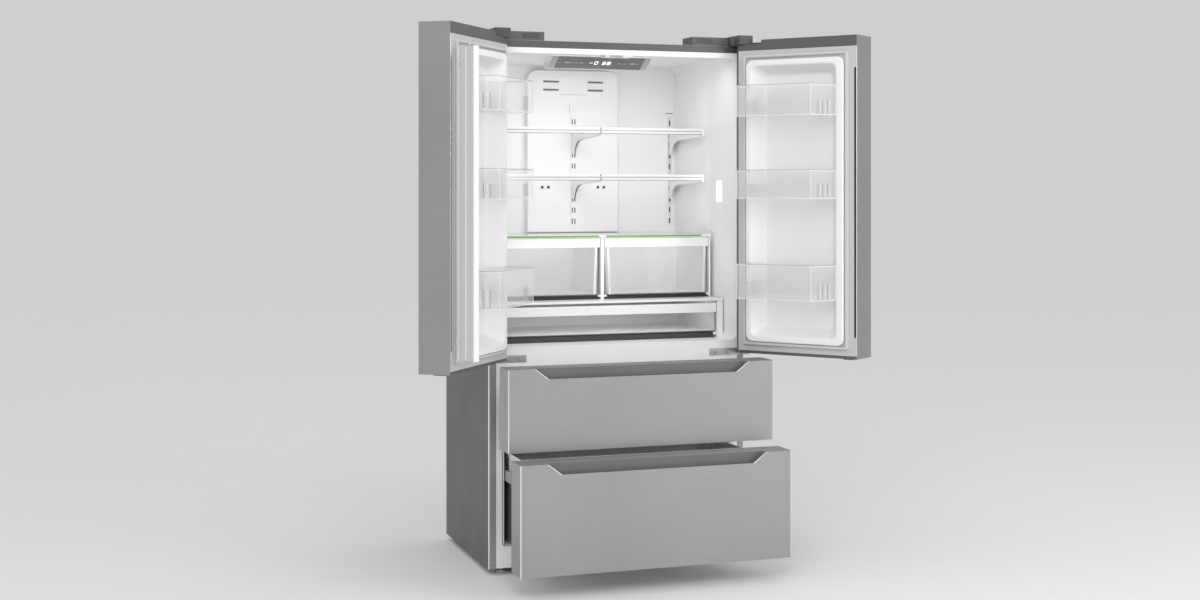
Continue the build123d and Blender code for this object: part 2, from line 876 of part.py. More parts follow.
save(mullion_flap.part, "mullion_flap", flap_pose)

# Guide block under the ceiling: its channel opens to the front and takes the flap's cam.
guide_half = 48.0
guide_y = (3.0, 56.0)
guide_low = food_ceiling - 22.0
channel_x = (-34.0, 12.0)
channel_back = 50.0
channel_top = food_ceiling - 14.0
with BuildPart() as mullion_guide:
    with BuildSketch(Plane.YZ.offset(-guide_half)):
        with BuildLine():
            Polyline(
                (guide_y[0], guide_low),
                (guide_y[1], guide_low),
                (guide_y[1], food_top(guide_y[1])),
                (guide_y[0], food_top(guide_y[0])),
                close=True,
            )
        make_face()
    extrude(amount=2 * guide_half)
    block(channel_x, (guide_y[0] - overcut, channel_back), (guide_low - overcut, channel_top), Mode.SUBTRACT)
save(mullion_guide.part, "mullion_guide")

# Door pieces, all written for the left door: x is measured from the hinge-side edge.
liner_ply = 2.0
dike_x = (35.0, door_width - 43.5)
dike_z = (food_floor + 4.0, food_ceiling - 30.0)
dike_height = 15.0
dike_corner = 25.0
recess_depth = 40.0
recess_mouth_x = (dike_x[0] + 20.0, dike_x[1] - 27.0)
recess_mouth_z = (dike_z[0] + 20.0, dike_z[1] - 20.0)
recess_floor_x = (recess_mouth_x[0] + 29.0, recess_mouth_x[1] - 34.0)
recess_floor_z = (recess_mouth_z[0] + 28.0, recess_mouth_z[1] - 28.0)
recess_corner = 22.0
grip_x = (door_width - 10.0, door_width - 2.5)
grip_z = (dike_z[0] + 29.0, dike_z[1] - 37.0)
grip_depth = 18.0
gasket_x = (21.0, door_width - 28.5)
gasket_z = (food_floor - 9.0, food_ceiling - 10.0)
notch_length = 88.0
notch_wall = 12.0
cap_wall = 3.0
toe_x = (door_width - 65.5, door_width - 32.5)
toe_y = (-80.0, -45.0)
toe_bottom = door_bottom - 6.0


def along(distance):
    """X of a point at a distance from the left door's hinge-side edge."""
    return distance - half


def span(pair):
    """X range of a pair of distances from the left door's hinge-side edge."""
    return (along(pair[0]), along(pair[1]))


def recess(grow):
    """The drafted hollow of the door's inner face, grown by the liner's wall."""
    mouth_y = rim_y + dike_height
    levels = (
        (mouth_y, recess_mouth_x, recess_mouth_z),
        (rim_y - recess_depth - grow, recess_floor_x, recess_floor_z),
    )
    with BuildPart() as hollow:
        for y, wide, tall in levels:
            with BuildSketch(upright(y)):
                with Locations((along((wide[0] + wide[1]) / 2), (tall[0] + tall[1]) / 2)):
                    RectangleRounded(
                        wide[1] - wide[0] + 2 * grow, tall[1] - tall[0] + 2 * grow, recess_corner + grow
                    )
        loft(ruled=True)
    return hollow.part


def dike(grow):
    """The raised block round the door's recess, grown or shrunk by a wall."""
    with BuildPart() as ridge:
        with BuildSketch(upright(rim_y + dike_height + grow)):
            with Locations((along((dike_x[0] + dike_x[1]) / 2), (dike_z[0] + dike_z[1]) / 2)):
                RectangleRounded(
                    dike_x[1] - dike_x[0] + 2 * grow, dike_z[1] - dike_z[0] + 2 * grow, dike_corner + grow
                )
        extrude(amount=dike_height + liner_ply + grow)
    return ridge.part


recess_outer = recess(liner_ply)
recess_inner = recess(0)
dike_outer = dike(0)
dike_core = dike(-liner_ply)
inner_x = (along(sheet), along(door_width - sheet))
panel_z = (door_bottom + bottom_cap_height, door_top - top_cap_height)
notch_x = (-half - overcut, along(notch_length))
notch_y = (outer_y + notch_wall, rim_y + overcut)
notch_z = (door_top - notch_drop, door_top + overcut)

# Steel door skin: the outer face with a return down each edge.
with BuildPart() as door_skin:
    block((-half, along(door_width)), (outer_y, rim_y), (door_bottom, door_top))
    block(
        inner_x,
        (outer_y + sheet, rim_y + overcut),
        (door_bottom - overcut, door_top + overcut),
        Mode.SUBTRACT,
    )
    block(notch_x, notch_y, notch_z, Mode.SUBTRACT)

# Top and bottom caps of the door, bored for the hinge pins.
with BuildPart() as door_caps:
    block(inner_x, (outer_y + sheet, rim_y), (panel_z[1], door_top))
    block(notch_x, notch_y, notch_z, Mode.SUBTRACT)
    roof = door_top - notch_drop - cap_wall
    block(
        (inner_x[0] + cap_wall, inner_x[1] - cap_wall),
        (outer_y + sheet + cap_wall, rim_y - cap_wall),
        (panel_z[1], roof),
        Mode.SUBTRACT,
    )
    block(
        (along(notch_length) + cap_wall, inner_x[1] - cap_wall),
        (outer_y + sheet + cap_wall, rim_y - cap_wall),
        (roof, door_top - cap_wall),
        Mode.SUBTRACT,
    )
    rod(-hinge_x, hinge_y, (panel_z[1], roof), 2 * pin_radius)
    rod(
        -hinge_x,
        hinge_y,
        (case_top - pin_depth - pin_radius, door_top),
        pin_radius + shaft_gap,
        Mode.SUBTRACT,
    )
    block(inner_x, (outer_y + sheet, rim_y), (door_bottom, panel_z[0]))
    rod(
        -hinge_x,
        hinge_y,
        (door_bottom - overcut, panel_z[0] + overcut),
        pin_radius + shaft_gap,
        Mode.SUBTRACT,
    )
    block(span(toe_x), toe_y, (toe_bottom, door_bottom))

# Foam core of the door, with the recess, the raised ridge and the finger groove.
with BuildPart() as door_foam:
    block(inner_x, (outer_y + sheet, rim_y - liner_ply), panel_z)
    add(dike_core)
    add(recess_outer, mode=Mode.SUBTRACT)
    block(
        (along(grip_x[0] - liner_ply), inner_x[1] + overcut),
        (rim_y - grip_depth - liner_ply, rim_y),
        (grip_z[0] - liner_ply, grip_z[1] + liner_ply),
        Mode.SUBTRACT,
    )

# Inner liner of the door: rim, ridge, recess pan and the lined finger groove.
with BuildPart() as door_liner:
    block(inner_x, (rim_y - liner_ply, rim_y), panel_z)
    add(dike_outer)
    add(dike_core, mode=Mode.SUBTRACT)
    add(recess_outer)
    add(recess_inner, mode=Mode.SUBTRACT)
    block(
        (along(grip_x[0] - liner_ply), inner_x[1]),
        (rim_y - grip_depth - liner_ply, rim_y),
        (grip_z[0] - liner_ply, grip_z[1] + liner_ply),
    )
    block(span(grip_x), (rim_y - grip_depth, rim_y + overcut), grip_z, Mode.SUBTRACT)

with BuildPart() as flap_knuckles:
    for z in knuckle_z:
        lug_z = (z - knuckle_half, z + knuckle_half)
        lug_y = rim_y + dike_height
        block((along(dike_x[1] - knuckle_root), pivot_x), (lug_y, pivot_y + knuckle_radius), lug_z)
        rod(pivot_x, pivot_y, lug_z, knuckle_radius)
        pin_half = knuckle_half + pivot_reach - 2 * running_gap
        rod(pivot_x, pivot_y, (z - pin_half, z + pin_half), pivot_radius)

with BuildPart() as left_liner:
    add(door_liner.part)
    add(flap_knuckles.part)

# Door gasket: a soft ring between the ridge and the cabinet's flange.
with BuildPart() as door_gasket:
    block(span(gasket_x), (rim_y, -running_gap), gasket_z)
    block(
        (along(dike_x[0] - running_gap), along(dike_x[1] + running_gap)),
        (rim_y - overcut, overcut),
        (dike_z[0] - running_gap, dike_z[1] + running_gap),
        Mode.SUBTRACT,
    )

# Clear door bins, seated between the recess walls.
dike_middle = sum(dike_z) / 2
bin_z = (
    (dike_z[1] - 194.0, dike_z[1] - 90.0),
    (dike_middle + 9.0, dike_middle + 104.0),
    (dike_z[0] + 151.0, dike_z[0] + 268.0),
)
bin_reach = 115.0
bin_front_x = (52.0, recess_floor_x[1] + 1.0)
bin_round = 7.0
bin_wall = 2.5
bin_root = 28.0
holder_x = (95.0, 111.0)


def recess_wall(out, edge):
    """Distance of a recess side wall from the hinge-side edge at a depth into the door."""
    share = (out + dike_height) / (recess_depth + dike_height)
    return recess_mouth_x[edge] + share * (recess_floor_x[edge] - recess_mouth_x[edge])


def bin_outline():
    """Corners of a bin in plan, as distances along the door and into it."""
    return [
        (recess_wall(bin_root, 0) + seat_gap, bin_root),
        (recess_wall(-dike_height, 0) + seat_gap, -dike_height),
        (bin_front_x[0] + seat_gap, bin_round - bin_reach),
        (bin_front_x[0] + bin_round, -bin_reach),
        (bin_front_x[1] - bin_round, -bin_reach),
        (bin_front_x[1], bin_round - bin_reach),
        (recess_wall(-dike_height, 1) - seat_gap, -dike_height),
        (recess_wall(bin_root, 1) - seat_gap, bin_root),
    ]


outline_points = [(along(distance), rim_y - out) for distance, out in bin_outline()]
with BuildPart() as door_bins:
    for low, high in bin_z:
        with BuildSketch(Plane.XY.offset(low)) as plan:
            with BuildLine():
                Polyline(*outline_points, close=True)
            make_face()
        extrude(amount=high - low)
        with BuildSketch(Plane.XY.offset(low + bin_wall)):
            add(plan.sketch)
            offset(amount=-bin_wall, kind=Kind.INTERSECTION)
        extrude(amount=high - low, mode=Mode.SUBTRACT)
        block(
            (along(holder_x[0]), along(holder_x[0]) + bin_wall),
            (rim_y - bin_root + bin_wall, rim_y + bin_reach - bin_wall),
            (low + bin_wall, (low + high) / 2),
        )

door_pieces = {
    "skin": door_skin.part,
    "caps": door_caps.part,
    "foam": door_foam.part,
    "gasket": door_gasket.part,
    "bins": door_bins.part,
}
for name, piece in door_pieces.items():
    save(piece, f"left_door_{name}", door_pose)
    save(piece, f"right_door_{name}", door_pose, mirrored=True)
save(left_liner.part, "left_door_liner", door_pose)
save(door_liner.part, "right_door_liner", door_pose, mirrored=True)

# Drawer fronts: a steel skin with a sloped finger scoop, a core and an inner panel.
scoop_mouth_half = half - 89.0
scoop_floor_half = scoop_mouth_half - 44.0
scoop_drop = 33.0
scoop_depth = 28.0
inner_panel_ply = 2.0
ring_width = 14.0
ring_reach = 20.0
ring_inset = 1.0
rail_z_upper = freezer_ceiling - 78.0
rail_z_lower = lower_front_high - 93.0
bin_half = freezer_half - 17.0
upper_bin = ((12.0, step_depth + 40.0), (upper_front_low + 15.0, freezer_ceiling - 30.0))
lower_bin = ((12.0, step_depth - 20.0), (freezer_sill + 9.0, mid_bar_low - 7.0))
tub_wall = 3.0
tub_draft = 6.0
tub_corner = 20.0

# Telescopic rails: fixed channel on the liner, middle channel, and a bar on the tub.
rail_ply = 1.5
rail_y = (14.0, freezer_depth - 90.0)
fixed_half_height = 20.0
middle_half_height = 18.0
bar_half_height = 15.5
rail_step = 0.5
bar_in = bin_half
end_plate_drop = 23.0
end_plate_rise = 59.0
end_plate_y = (2.0, 40.0)
fixed_in = freezer_half - 9.0
middle_out = freezer_half - rail_ply - rail_step
middle_in = fixed_in - 1.0
bar_out = middle_out - rail_ply - rail_step


def channel(x_in, x_out, z_mid, half_height, y):
    """Add a rail channel, open towards the middle of the cabinet, on both sides."""
    slab((x_in, x_out), y, (z_mid - half_height, z_mid + half_height))
    slab(
        (x_in - overcut, x_out - rail_ply),
        (y[0] - overcut, y[1] + overcut),
        (z_mid - half_height + rail_ply, z_mid + half_height - rail_ply),
        Mode.SUBTRACT,
    )


with BuildPart() as freezer_rails:
    for z_mid in (rail_z_upper, rail_z_lower):
        channel(fixed_in, freezer_half, z_mid, fixed_half_height, rail_y)
        slab(
            (freezer_half - rail_ply, freezer_half),
            end_plate_y,
            (z_mid - end_plate_drop, z_mid + end_plate_rise),
        )
        slab(
            (fixed_in, freezer_half),
            end_plate_y,
            (z_mid + fixed_half_height, z_mid + end_plate_rise),
        )
save(freezer_rails.part, "freezer_rails")

drawers = (
    ("upper", upper_front_low, upper_front_high, upper_bin, rail_z_upper, upper_pull, upper_pose),
    ("lower", lower_front_low, lower_front_high, lower_bin, rail_z_lower, lower_pull, lower_pose),
)
for name, low, high, tub, rail_z, pull, pose in drawers:
    scoop_points = [
        (-scoop_mouth_half, high),
        (scoop_mouth_half, high),
        (scoop_floor_half, high - scoop_drop),
        (-scoop_floor_half, high - scoop_drop),
    ]
    with BuildPart() as drawer_front:
        block((-half, half), (outer_y, rim_y), (low, high))
        block(
            (-inner_half, inner_half),
            (outer_y + sheet, rim_y + overcut),
            (low - overcut, high + overcut),
            Mode.SUBTRACT,
        )
        with BuildSketch(upright(outer_y)):
            Polygon(*scoop_points, align=None)
        extrude(amount=-2 * sheet, mode=Mode.SUBTRACT)
    save(drawer_front.part, f"{name}_drawer_front", pose)

    with BuildPart() as drawer_core:
        block((-inner_half, inner_half), (outer_y + sheet, rim_y - inner_panel_ply), (low, high))
        with BuildSketch(upright(outer_y)):
            Polygon(*scoop_points, align=None)
        extrude(amount=-scoop_depth, mode=Mode.SUBTRACT)
    save(drawer_core.part, f"{name}_drawer_core", pose)

    gasket_low = max(low + ring_inset, kick_top)
    gasket_top = min(high, freezer_frame_top) - ring_inset
    ring_out = freezer_half + ring_reach
    with BuildPart() as drawer_panel:
        block((-inner_half, inner_half), (rim_y - inner_panel_ply, rim_y), (low, high))
        block((-ring_out, ring_out), (rim_y, -running_gap), (gasket_low, gasket_top))
        block(
            (ring_width - ring_out, ring_out - ring_width),
            (rim_y, overcut),
            (gasket_low + ring_width, gasket_top - ring_width),
            Mode.SUBTRACT,
        )
    save(drawer_panel.part, f"{name}_drawer_panel", pose)

    with BuildPart() as drawer_bin:
        (tub_front, tub_back), (tub_low, tub_high) = tub
        for shrink, mode in ((0, Mode.ADD), (tub_wall, Mode.SUBTRACT)):
            for z, draft in ((tub_low + shrink, tub_draft), (tub_high, 0)):
                with BuildSketch(Plane.XY.offset(z)):
                    with Locations((0, (tub_front + tub_back) / 2)):
                        RectangleRounded(
                            2 * (bin_half - shrink),
                            tub_back - tub_front - 2 * (draft + shrink),
                            tub_corner - shrink,
                        )
            loft(ruled=True, mode=mode)
        slab((bar_in, bar_out), (rim_y, tub_back), (rail_z - bar_half_height, rail_z + bar_half_height))
    save(drawer_bin.part, f"{name}_drawer_bin", pose)

    with BuildPart() as slides:
        channel(middle_in, middle_out, rail_z, middle_half_height, rail_y)
    save(slides.part, f"{name}_slides", Pos(0, -pull / 2, 0))

# Evaporator behind a vented cover at the back of the freezer, with its fan.
evaporator_cover_y = (freezer_depth - 60.0, freezer_depth - 57.0)
evaporator_cover_z = (step_high + 5.0, freezer_ceiling - seat_gap)
evaporator_z = (step_high + 15.0, freezer_ceiling - 158.0)
evaporator_half = freezer_half - 151.0
evaporator_back = freezer_depth - 12.0
fin_pitch = 20.0
fin_slot = 3.0
fin_rib = 12.0
fan_z = freezer_ceiling - 88.0
fan_hole = 56.0
fan_radius = 50.0
fan_hub = 16.0
fan_y = (evaporator_cover_y[1] + 7.0, evaporator_cover_y[1] + 25.0)
fan_shaft = 3.0
spoke_width = 8.0
blade_count = 5
fan_blade_width = 12.0
spoke_root = 1.0
cover_vent = (50.0, 6.0)
cover_vent_pitch = (80.0, 24.0)
cover_vent_count = (8, 4)
with BuildPart() as evaporator_cover:
    block((seat_gap - freezer_half, freezer_half - seat_gap), evaporator_cover_y, evaporator_cover_z)
    with BuildSketch(upright(evaporator_cover_y[0])):
        with Locations((0, fan_z)):
            Circle(fan_hole)
        with Locations((0, (evaporator_z[0] + evaporator_z[1]) / 2)):
            with GridLocations(
                cover_vent_pitch[0], cover_vent_pitch[1], cover_vent_count[0], cover_vent_count[1]
            ):
                SlotOverall(cover_vent[0], cover_vent[1])
    extrude(amount=2 * (evaporator_cover_y[0] - evaporator_cover_y[1]), mode=Mode.SUBTRACT)
    with BuildSketch(upright(evaporator_cover_y[0])):
        with Locations((0, fan_z)):
            Rectangle(2 * (fan_hole + spoke_root), spoke_width)
            Rectangle(spoke_width, 2 * (fan_hole + spoke_root))
            Circle(fan_hub)
    extrude(amount=evaporator_cover_y[0] - evaporator_cover_y[1])
    with Locations((0, (evaporator_cover_y[1] + fan_y[1]) / 2, fan_z)):
        Cylinder(fan_shaft, fan_y[1] - evaporator_cover_y[1], rotation=(90, 0, 0))
save(evaporator_cover.part, "evaporator_cover")

with BuildPart() as evaporator:
    block((-evaporator_half, evaporator_half), (evaporator_cover_y[1], evaporator_back), evaporator_z)
    with BuildSketch(Plane.XY.offset(evaporator_z[1])):
        with Locations((0, evaporator_cover_y[1])):
            with GridLocations(fin_pitch, 1, int(2 * evaporator_half / fin_pitch) - 1, 1):
                Rectangle(fin_slot, 2 * (evaporator_back - evaporator_cover_y[1] - fin_rib))
    extrude(amount=evaporator_z[0] - evaporator_z[1], mode=Mode.SUBTRACT)
save(evaporator.part, "evaporator")

with BuildPart() as evaporator_fan:
    with BuildSketch(upright(fan_y[0])):
        with Locations((0, fan_z)):
            Circle(fan_hub)
            with PolarLocations(fan_radius / 2, blade_count):
                Rectangle(fan_radius, fan_blade_width)
            Circle(fan_shaft + shaft_gap, mode=Mode.SUBTRACT)
    extrude(amount=fan_y[0] - fan_y[1])
save(evaporator_fan.part, "evaporator_fan")

# Machine compartment: compressor, condenser with its shroud, and the condenser fan.
pot_x = -210.0
pot_y = case_depth - 98.0
pot_radius = 72.0
pot_height = 165.0
pot_dome = 34.0
pot_plate = (230.0, 160.0, 3.0)
grommet_radius = 10.0
grommet_height = 10.0
pan_top = case_bottom + pan_ply
with BuildPart() as compressor:
    plate_low = pan_top + grommet_height
    plate_high = plate_low + pot_plate[2]
    block(
        (pot_x - pot_plate[0] / 2, pot_x + pot_plate[0] / 2),
        (pot_y - pot_plate[1] / 2, pot_y + pot_plate[1] / 2),
        (plate_low, plate_high),
    )
    with BuildSketch(Plane.XY.offset(pan_top)):
        with Locations((pot_x, pot_y)):
            with GridLocations(
                pot_plate[0] - 3 * grommet_radius, pot_plate[1] - 3 * grommet_radius, 2, 2
            ):
                Circle(grommet_radius)
    extrude(amount=grommet_height)
    with BuildSketch(Plane(origin=(pot_x, pot_y, plate_high), x_dir=(1, 0, 0), z_dir=(0, -1, 0))):
        with BuildLine():
            shoulder = pot_height - pot_dome
            Polyline((0, pot_height), (0, 0), (pot_radius, 0), (pot_radius, shoulder))
            Spline((pot_radius, shoulder), (0, pot_height), tangents=[(0, 1), (-1, 0)])
        make_face()
    revolve(axis=Axis((pot_x, pot_y, 0), (0, 0, 1)))
save(compressor.part, "compressor")

shroud_x = (48.0, 51.0)
shroud_y = (machine_front + 8.0, case_depth - 10.0)
shroud_top = machine_top - 20.0
cooler_fan_y = case_depth - 98.0
cooler_fan_z = 140.0
cooler_hole = 80.0
cooler_fan_radius = 76.0
cooler_hub = 22.0
cooler_fan_x = (22.0, 44.0)
cooler_x = 250.0
cooler_y = (machine_front + 25.0, case_depth - 22.0)
cooler_z = (pan_top, machine_top - 45.0)
cooler_fin_pitch = 12.0
cooler_blade_width = 16.0
with BuildPart() as condenser:
    block(shroud_x, shroud_y, (pan_top, shroud_top))
    with BuildSketch(Plane.YZ.offset(shroud_x[0])):
        with Locations((cooler_fan_y, cooler_fan_z)):
            Circle(cooler_hole)
    extrude(amount=shroud_x[1] - shroud_x[0], mode=Mode.SUBTRACT)
    with BuildSketch(Plane.YZ.offset(shroud_x[0])):
        with Locations((cooler_fan_y, cooler_fan_z)):
            Rectangle(2 * (cooler_hole + spoke_root), spoke_width)
            Rectangle(spoke_width, 2 * (cooler_hole + spoke_root))
            Circle(cooler_hub)
    extrude(amount=shroud_x[1] - shroud_x[0])
    with Locations(((cooler_fan_x[0] + shroud_x[0]) / 2, cooler_fan_y, cooler_fan_z)):
        Cylinder(fan_shaft, shroud_x[0] - cooler_fan_x[0], rotation=(0, 90, 0))
    block((shroud_x[1], cooler_x), cooler_y, cooler_z)
    with BuildSketch(Plane.XY.offset(cooler_z[1])):
        with Locations(((shroud_x[1] + cooler_x) / 2, (cooler_y[0] + cooler_y[1]) / 2)):
            with GridLocations(cooler_fin_pitch, 1, int((cooler_x - shroud_x[1]) / cooler_fin_pitch) - 1, 1):
                Rectangle(fin_slot, cooler_y[1] - cooler_y[0] - 2 * fin_rib)
    extrude(amount=-(cooler_z[1] - cooler_z[0] - fin_rib), mode=Mode.SUBTRACT)
save(condenser.part, "condenser")

with BuildPart() as condenser_fan:
    with BuildSketch(Plane.YZ.offset(cooler_fan_x[0])):
        with Locations((cooler_fan_y, cooler_fan_z)):
            Circle(cooler_hub)
            with PolarLocations(cooler_fan_radius / 2, blade_count):
                Rectangle(cooler_fan_radius, cooler_blade_width)
            Circle(fan_shaft + shaft_gap, mode=Mode.SUBTRACT)
    extrude(amount=cooler_fan_x[1] - cooler_fan_x[0])
save(condenser_fan.part, "condenser_fan")
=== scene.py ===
"""Looks of a French-door refrigerator with its doors and drawers open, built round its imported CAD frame.

Every piece is drawn in millimetres as the shut refrigerator holds it, with the cabinet's front
face on Y = 0 and the floor on Z = 0, and is then moved to where its body stands at rest.
"""

import json
import logging
import math
from dataclasses import dataclass, field
from enum import Enum
from typing import Callable, Iterable, Sequence

import bmesh
import bpy
from mathutils import Matrix, Vector


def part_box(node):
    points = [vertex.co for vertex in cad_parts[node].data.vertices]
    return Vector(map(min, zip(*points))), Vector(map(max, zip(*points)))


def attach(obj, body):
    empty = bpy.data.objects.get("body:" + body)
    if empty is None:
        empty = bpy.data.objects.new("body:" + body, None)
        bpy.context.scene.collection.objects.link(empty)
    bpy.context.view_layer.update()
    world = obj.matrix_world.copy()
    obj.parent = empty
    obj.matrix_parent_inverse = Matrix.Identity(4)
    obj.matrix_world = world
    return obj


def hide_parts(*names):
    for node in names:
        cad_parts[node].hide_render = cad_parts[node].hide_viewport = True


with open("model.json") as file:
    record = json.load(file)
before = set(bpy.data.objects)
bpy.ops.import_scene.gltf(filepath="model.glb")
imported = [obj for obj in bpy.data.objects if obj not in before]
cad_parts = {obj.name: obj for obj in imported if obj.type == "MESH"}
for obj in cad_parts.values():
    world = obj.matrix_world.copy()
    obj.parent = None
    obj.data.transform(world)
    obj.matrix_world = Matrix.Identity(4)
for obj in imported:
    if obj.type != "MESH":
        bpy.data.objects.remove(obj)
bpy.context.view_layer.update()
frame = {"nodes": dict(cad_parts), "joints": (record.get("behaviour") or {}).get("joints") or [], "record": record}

MM = 0.001
CASE_DEPTH = 620.0
CASE_HALF = 454.0
SIDES = (-1, 1)
CENTRE_Y = CASE_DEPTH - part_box("case_wrap")[1].y / MM
log = logging.getLogger("refrigerator")

Colour = tuple[float, float, float]
Pair = tuple[float, float]
Where = Callable[[Vector], bool]
Operand = float | bpy.types.NodeSocket


class Side(Enum):
    """Which of the two upper doors."""

    LEFT = "left"
    RIGHT = "right"


class Tier(Enum):
    """Which of the two freezer drawers."""

    UPPER = "upper"
    LOWER = "lower"


class Grain(Enum):
    """How a surface's fine pattern runs."""

    BRUSHED = "brushed"
    PEBBLED = "pebbled"
    CLOUDED = "clouded"


# ---- Where the bodies stand ----


@dataclass(frozen=True)
class Spot:
    """A body, and the matrix from the shut refrigerator in millimetres to the row frame at rest."""

    body: str
    matrix: Matrix


def joint_named(name: str) -> dict:
    """The frame's joint of that name, as its row of the record."""
    return next(joint for joint in frame["joints"] if joint["name"] == name)


def shift(x: float, y: float, z: float = 0.0) -> Matrix:
    """A translation in millimetres."""
    return Matrix.Translation((x, y, z))


def still(body: str, forward: float = 0.0) -> Spot:
    """The spot of a body that stands square to the cabinet.

    Args:
        body: The CAD body's name.
        forward: How far it is pulled out at rest.

    Returns:
        Its spot.
    """
    return Spot(body, Matrix.Scale(MM, 4) @ shift(0, -CENTRE_Y - forward))


def drawer_spot(tier: Tier, share: float = 1.0) -> Spot:
    """The spot of a freezer drawer, or of its slides with a share of its travel.

    Args:
        tier: Which of the two drawers.
        share: 1 for the drawer itself, or the share of its travel that its slides make.

    Returns:
        The spot.
    """
    pull = -joint_named(f"{tier.value}_drawer_slide")["range_m"][0] / MM * share
    return still(f"{tier.value}_drawer" if share == 1.0 else f"{tier.value}_slides", pull)


def door_turn() -> Matrix:
    """How the left door is turned at rest.

    Returns:
        The turn about its hinge, in millimetres.
    """
    joint = joint_named("left_door_hinge")
    x, y = joint["pos_m"][0] / MM, joint["pos_m"][1] / MM + CENTRE_Y
    turn = Matrix.Rotation(math.radians(joint["range_deg"][0]), 4, "Z")
    return shift(x, y) @ turn @ shift(-x, -y)


def door_spot(side: Side) -> Spot:
    """The spot of a door; the right one is the left one mirrored.

    Args:
        side: Which of the two doors.

    Returns:
        The spot.
    """
    row = still("cabinet").matrix
    mirror = Matrix.Scale(-1, 4, (1, 0, 0)) if side is Side.RIGHT else Matrix.Identity(4)
    return Spot(f"{side.value}_door", row @ mirror @ door_turn())


def flap_spot() -> Spot:
    """The spot of the mullion flap, folded beside the open left door.

    Returns:
        The spot.
    """
    joint = joint_named("mullion_flap_hinge")
    turn = Matrix.Rotation(math.radians(-joint["range_deg"][0]), 4, "Z")
    pivot = door_spot(Side.LEFT).matrix.inverted() @ Vector(joint["pos_m"])
    fold = shift(pivot.x, pivot.y) @ turn @ shift(-pivot.x, -pivot.y)
    return Spot("mullion_flap", door_spot(Side.LEFT).matrix @ fold)


# ---- Shader groups and finishes ----


def wire(tree: bpy.types.NodeTree, kind: str, values: dict | None = None, **settings: object) -> bpy.types.Node:
    """Add a node, set its properties, and set or link its inputs.

    Args:
        tree: The tree that gets the node.
        kind: The node's type name.
        values: Input names or numbers, each with a value or an output socket.
        settings: Properties of the node.

    Returns:
        The node.
    """
    node = tree.nodes.new(kind)
    for name, value in settings.items():
        setattr(node, name, value)
    for key, value in (values or {}).items():
        if isinstance(value, bpy.types.NodeSocket):
            tree.links.new(value, node.inputs[key])
        else:
            node.inputs[key].default_value = value
    return node


def maths(kind: str, tree: bpy.types.NodeTree, first: Operand, second: Operand) -> bpy.types.NodeSocket:
    """Join two numbers by a Math node.

    Args:
        kind: The node's operation, such as MULTIPLY.
        tree: The tree that gets the node.
        first: The first number or output socket.
        second: The second one.

    Returns:
        The node's output.
    """
    return wire(tree, "ShaderNodeMath", {0: first, 1: second}, operation=kind).outputs[0]


def start_group(name: str, inputs: dict[str, float], outputs: Sequence[str]) -> tuple:
    """Start a shader group with a Vector input, named numbers in and named numbers out.

    Args:
        name: The group's name.
        inputs: Names of the number inputs with their defaults.
        outputs: Names of the number outputs.

    Returns:
        The tree, its input node and its output node.
    """
    tree = bpy.data.node_groups.new(name, "ShaderNodeTree")
    tree.interface.new_socket(name="Vector", in_out="INPUT", socket_type="NodeSocketVector")
    for label, value in inputs.items():
        socket = tree.interface.new_socket(name=label, in_out="INPUT", socket_type="NodeSocketFloat")
        socket.default_value = value
    for label in outputs:
        tree.interface.new_socket(name=label, in_out="OUTPUT", socket_type="NodeSocketFloat")
    return tree, tree.nodes.new("NodeGroupInput"), tree.nodes.new("NodeGroupOutput")


def brushed_group() -> bpy.types.NodeTree:
    """Level brush marks: streaks long in X and Y and fine in Z.

    Returns:
        The group.
    """
    tree, given, result = start_group("level_brush", {"Pitch": 900.0, "Length": 9.0}, ("Tone", "Height"))
    place, length = given.outputs["Vector"], given.outputs["Length"]
    scale = wire(tree, "ShaderNodeCombineXYZ", {"X": length, "Y": length, "Z": given.outputs["Pitch"]})
    stretched = wire(tree, "ShaderNodeVectorMath", {0: place, 1: scale.outputs[0]}, operation="MULTIPLY")
    marks = {"Vector": stretched.outputs[0], "Scale": 1.0, "Detail": 3.0, "Roughness": 0.65}
    streaks = wire(tree, "ShaderNodeTexNoise", marks)
    clouds = wire(tree, "ShaderNodeTexNoise", {"Vector": place, "Scale": 2.2, "Detail": 1.0})
    spread = {"Value": streaks.outputs["Fac"], "From Min": 0.25, "From Max": 0.75}
    tone = wire(tree, "ShaderNodeMapRange", {**spread, "To Min": 0.1, "To Max": 0.9})
    both = maths("MULTIPLY", tree, tone.outputs[0], clouds.outputs["Fac"])
    lifted = wire(tree, "ShaderNodeMath", {0: both, 1: 2.0}, operation="MULTIPLY", use_clamp=True)
    tree.links.new(lifted.outputs[0], result.inputs["Tone"])
    tree.links.new(streaks.outputs["Fac"], result.inputs["Height"])
    return tree


def pebble_group() -> bpy.types.NodeTree:
    """The fine pebble that a mould leaves, with a slow change of tone.

    Returns:
        The group.
    """
    tree, given, result = start_group("mould_pebble", {"Size": 500.0, "Cloud": 5.0}, ("Tone", "Height"))
    place, size, cloud = (given.outputs[label] for label in ("Vector", "Size", "Cloud"))
    cells = wire(tree, "ShaderNodeTexVoronoi", {"Vector": place, "Scale": size})
    clouds = wire(tree, "ShaderNodeTexNoise", {"Vector": place, "Scale": cloud, "Detail": 2.0})
    tree.links.new(clouds.outputs["Fac"], result.inputs["Tone"])
    tree.links.new(cells.outputs["Distance"], result.inputs["Height"])
    return tree


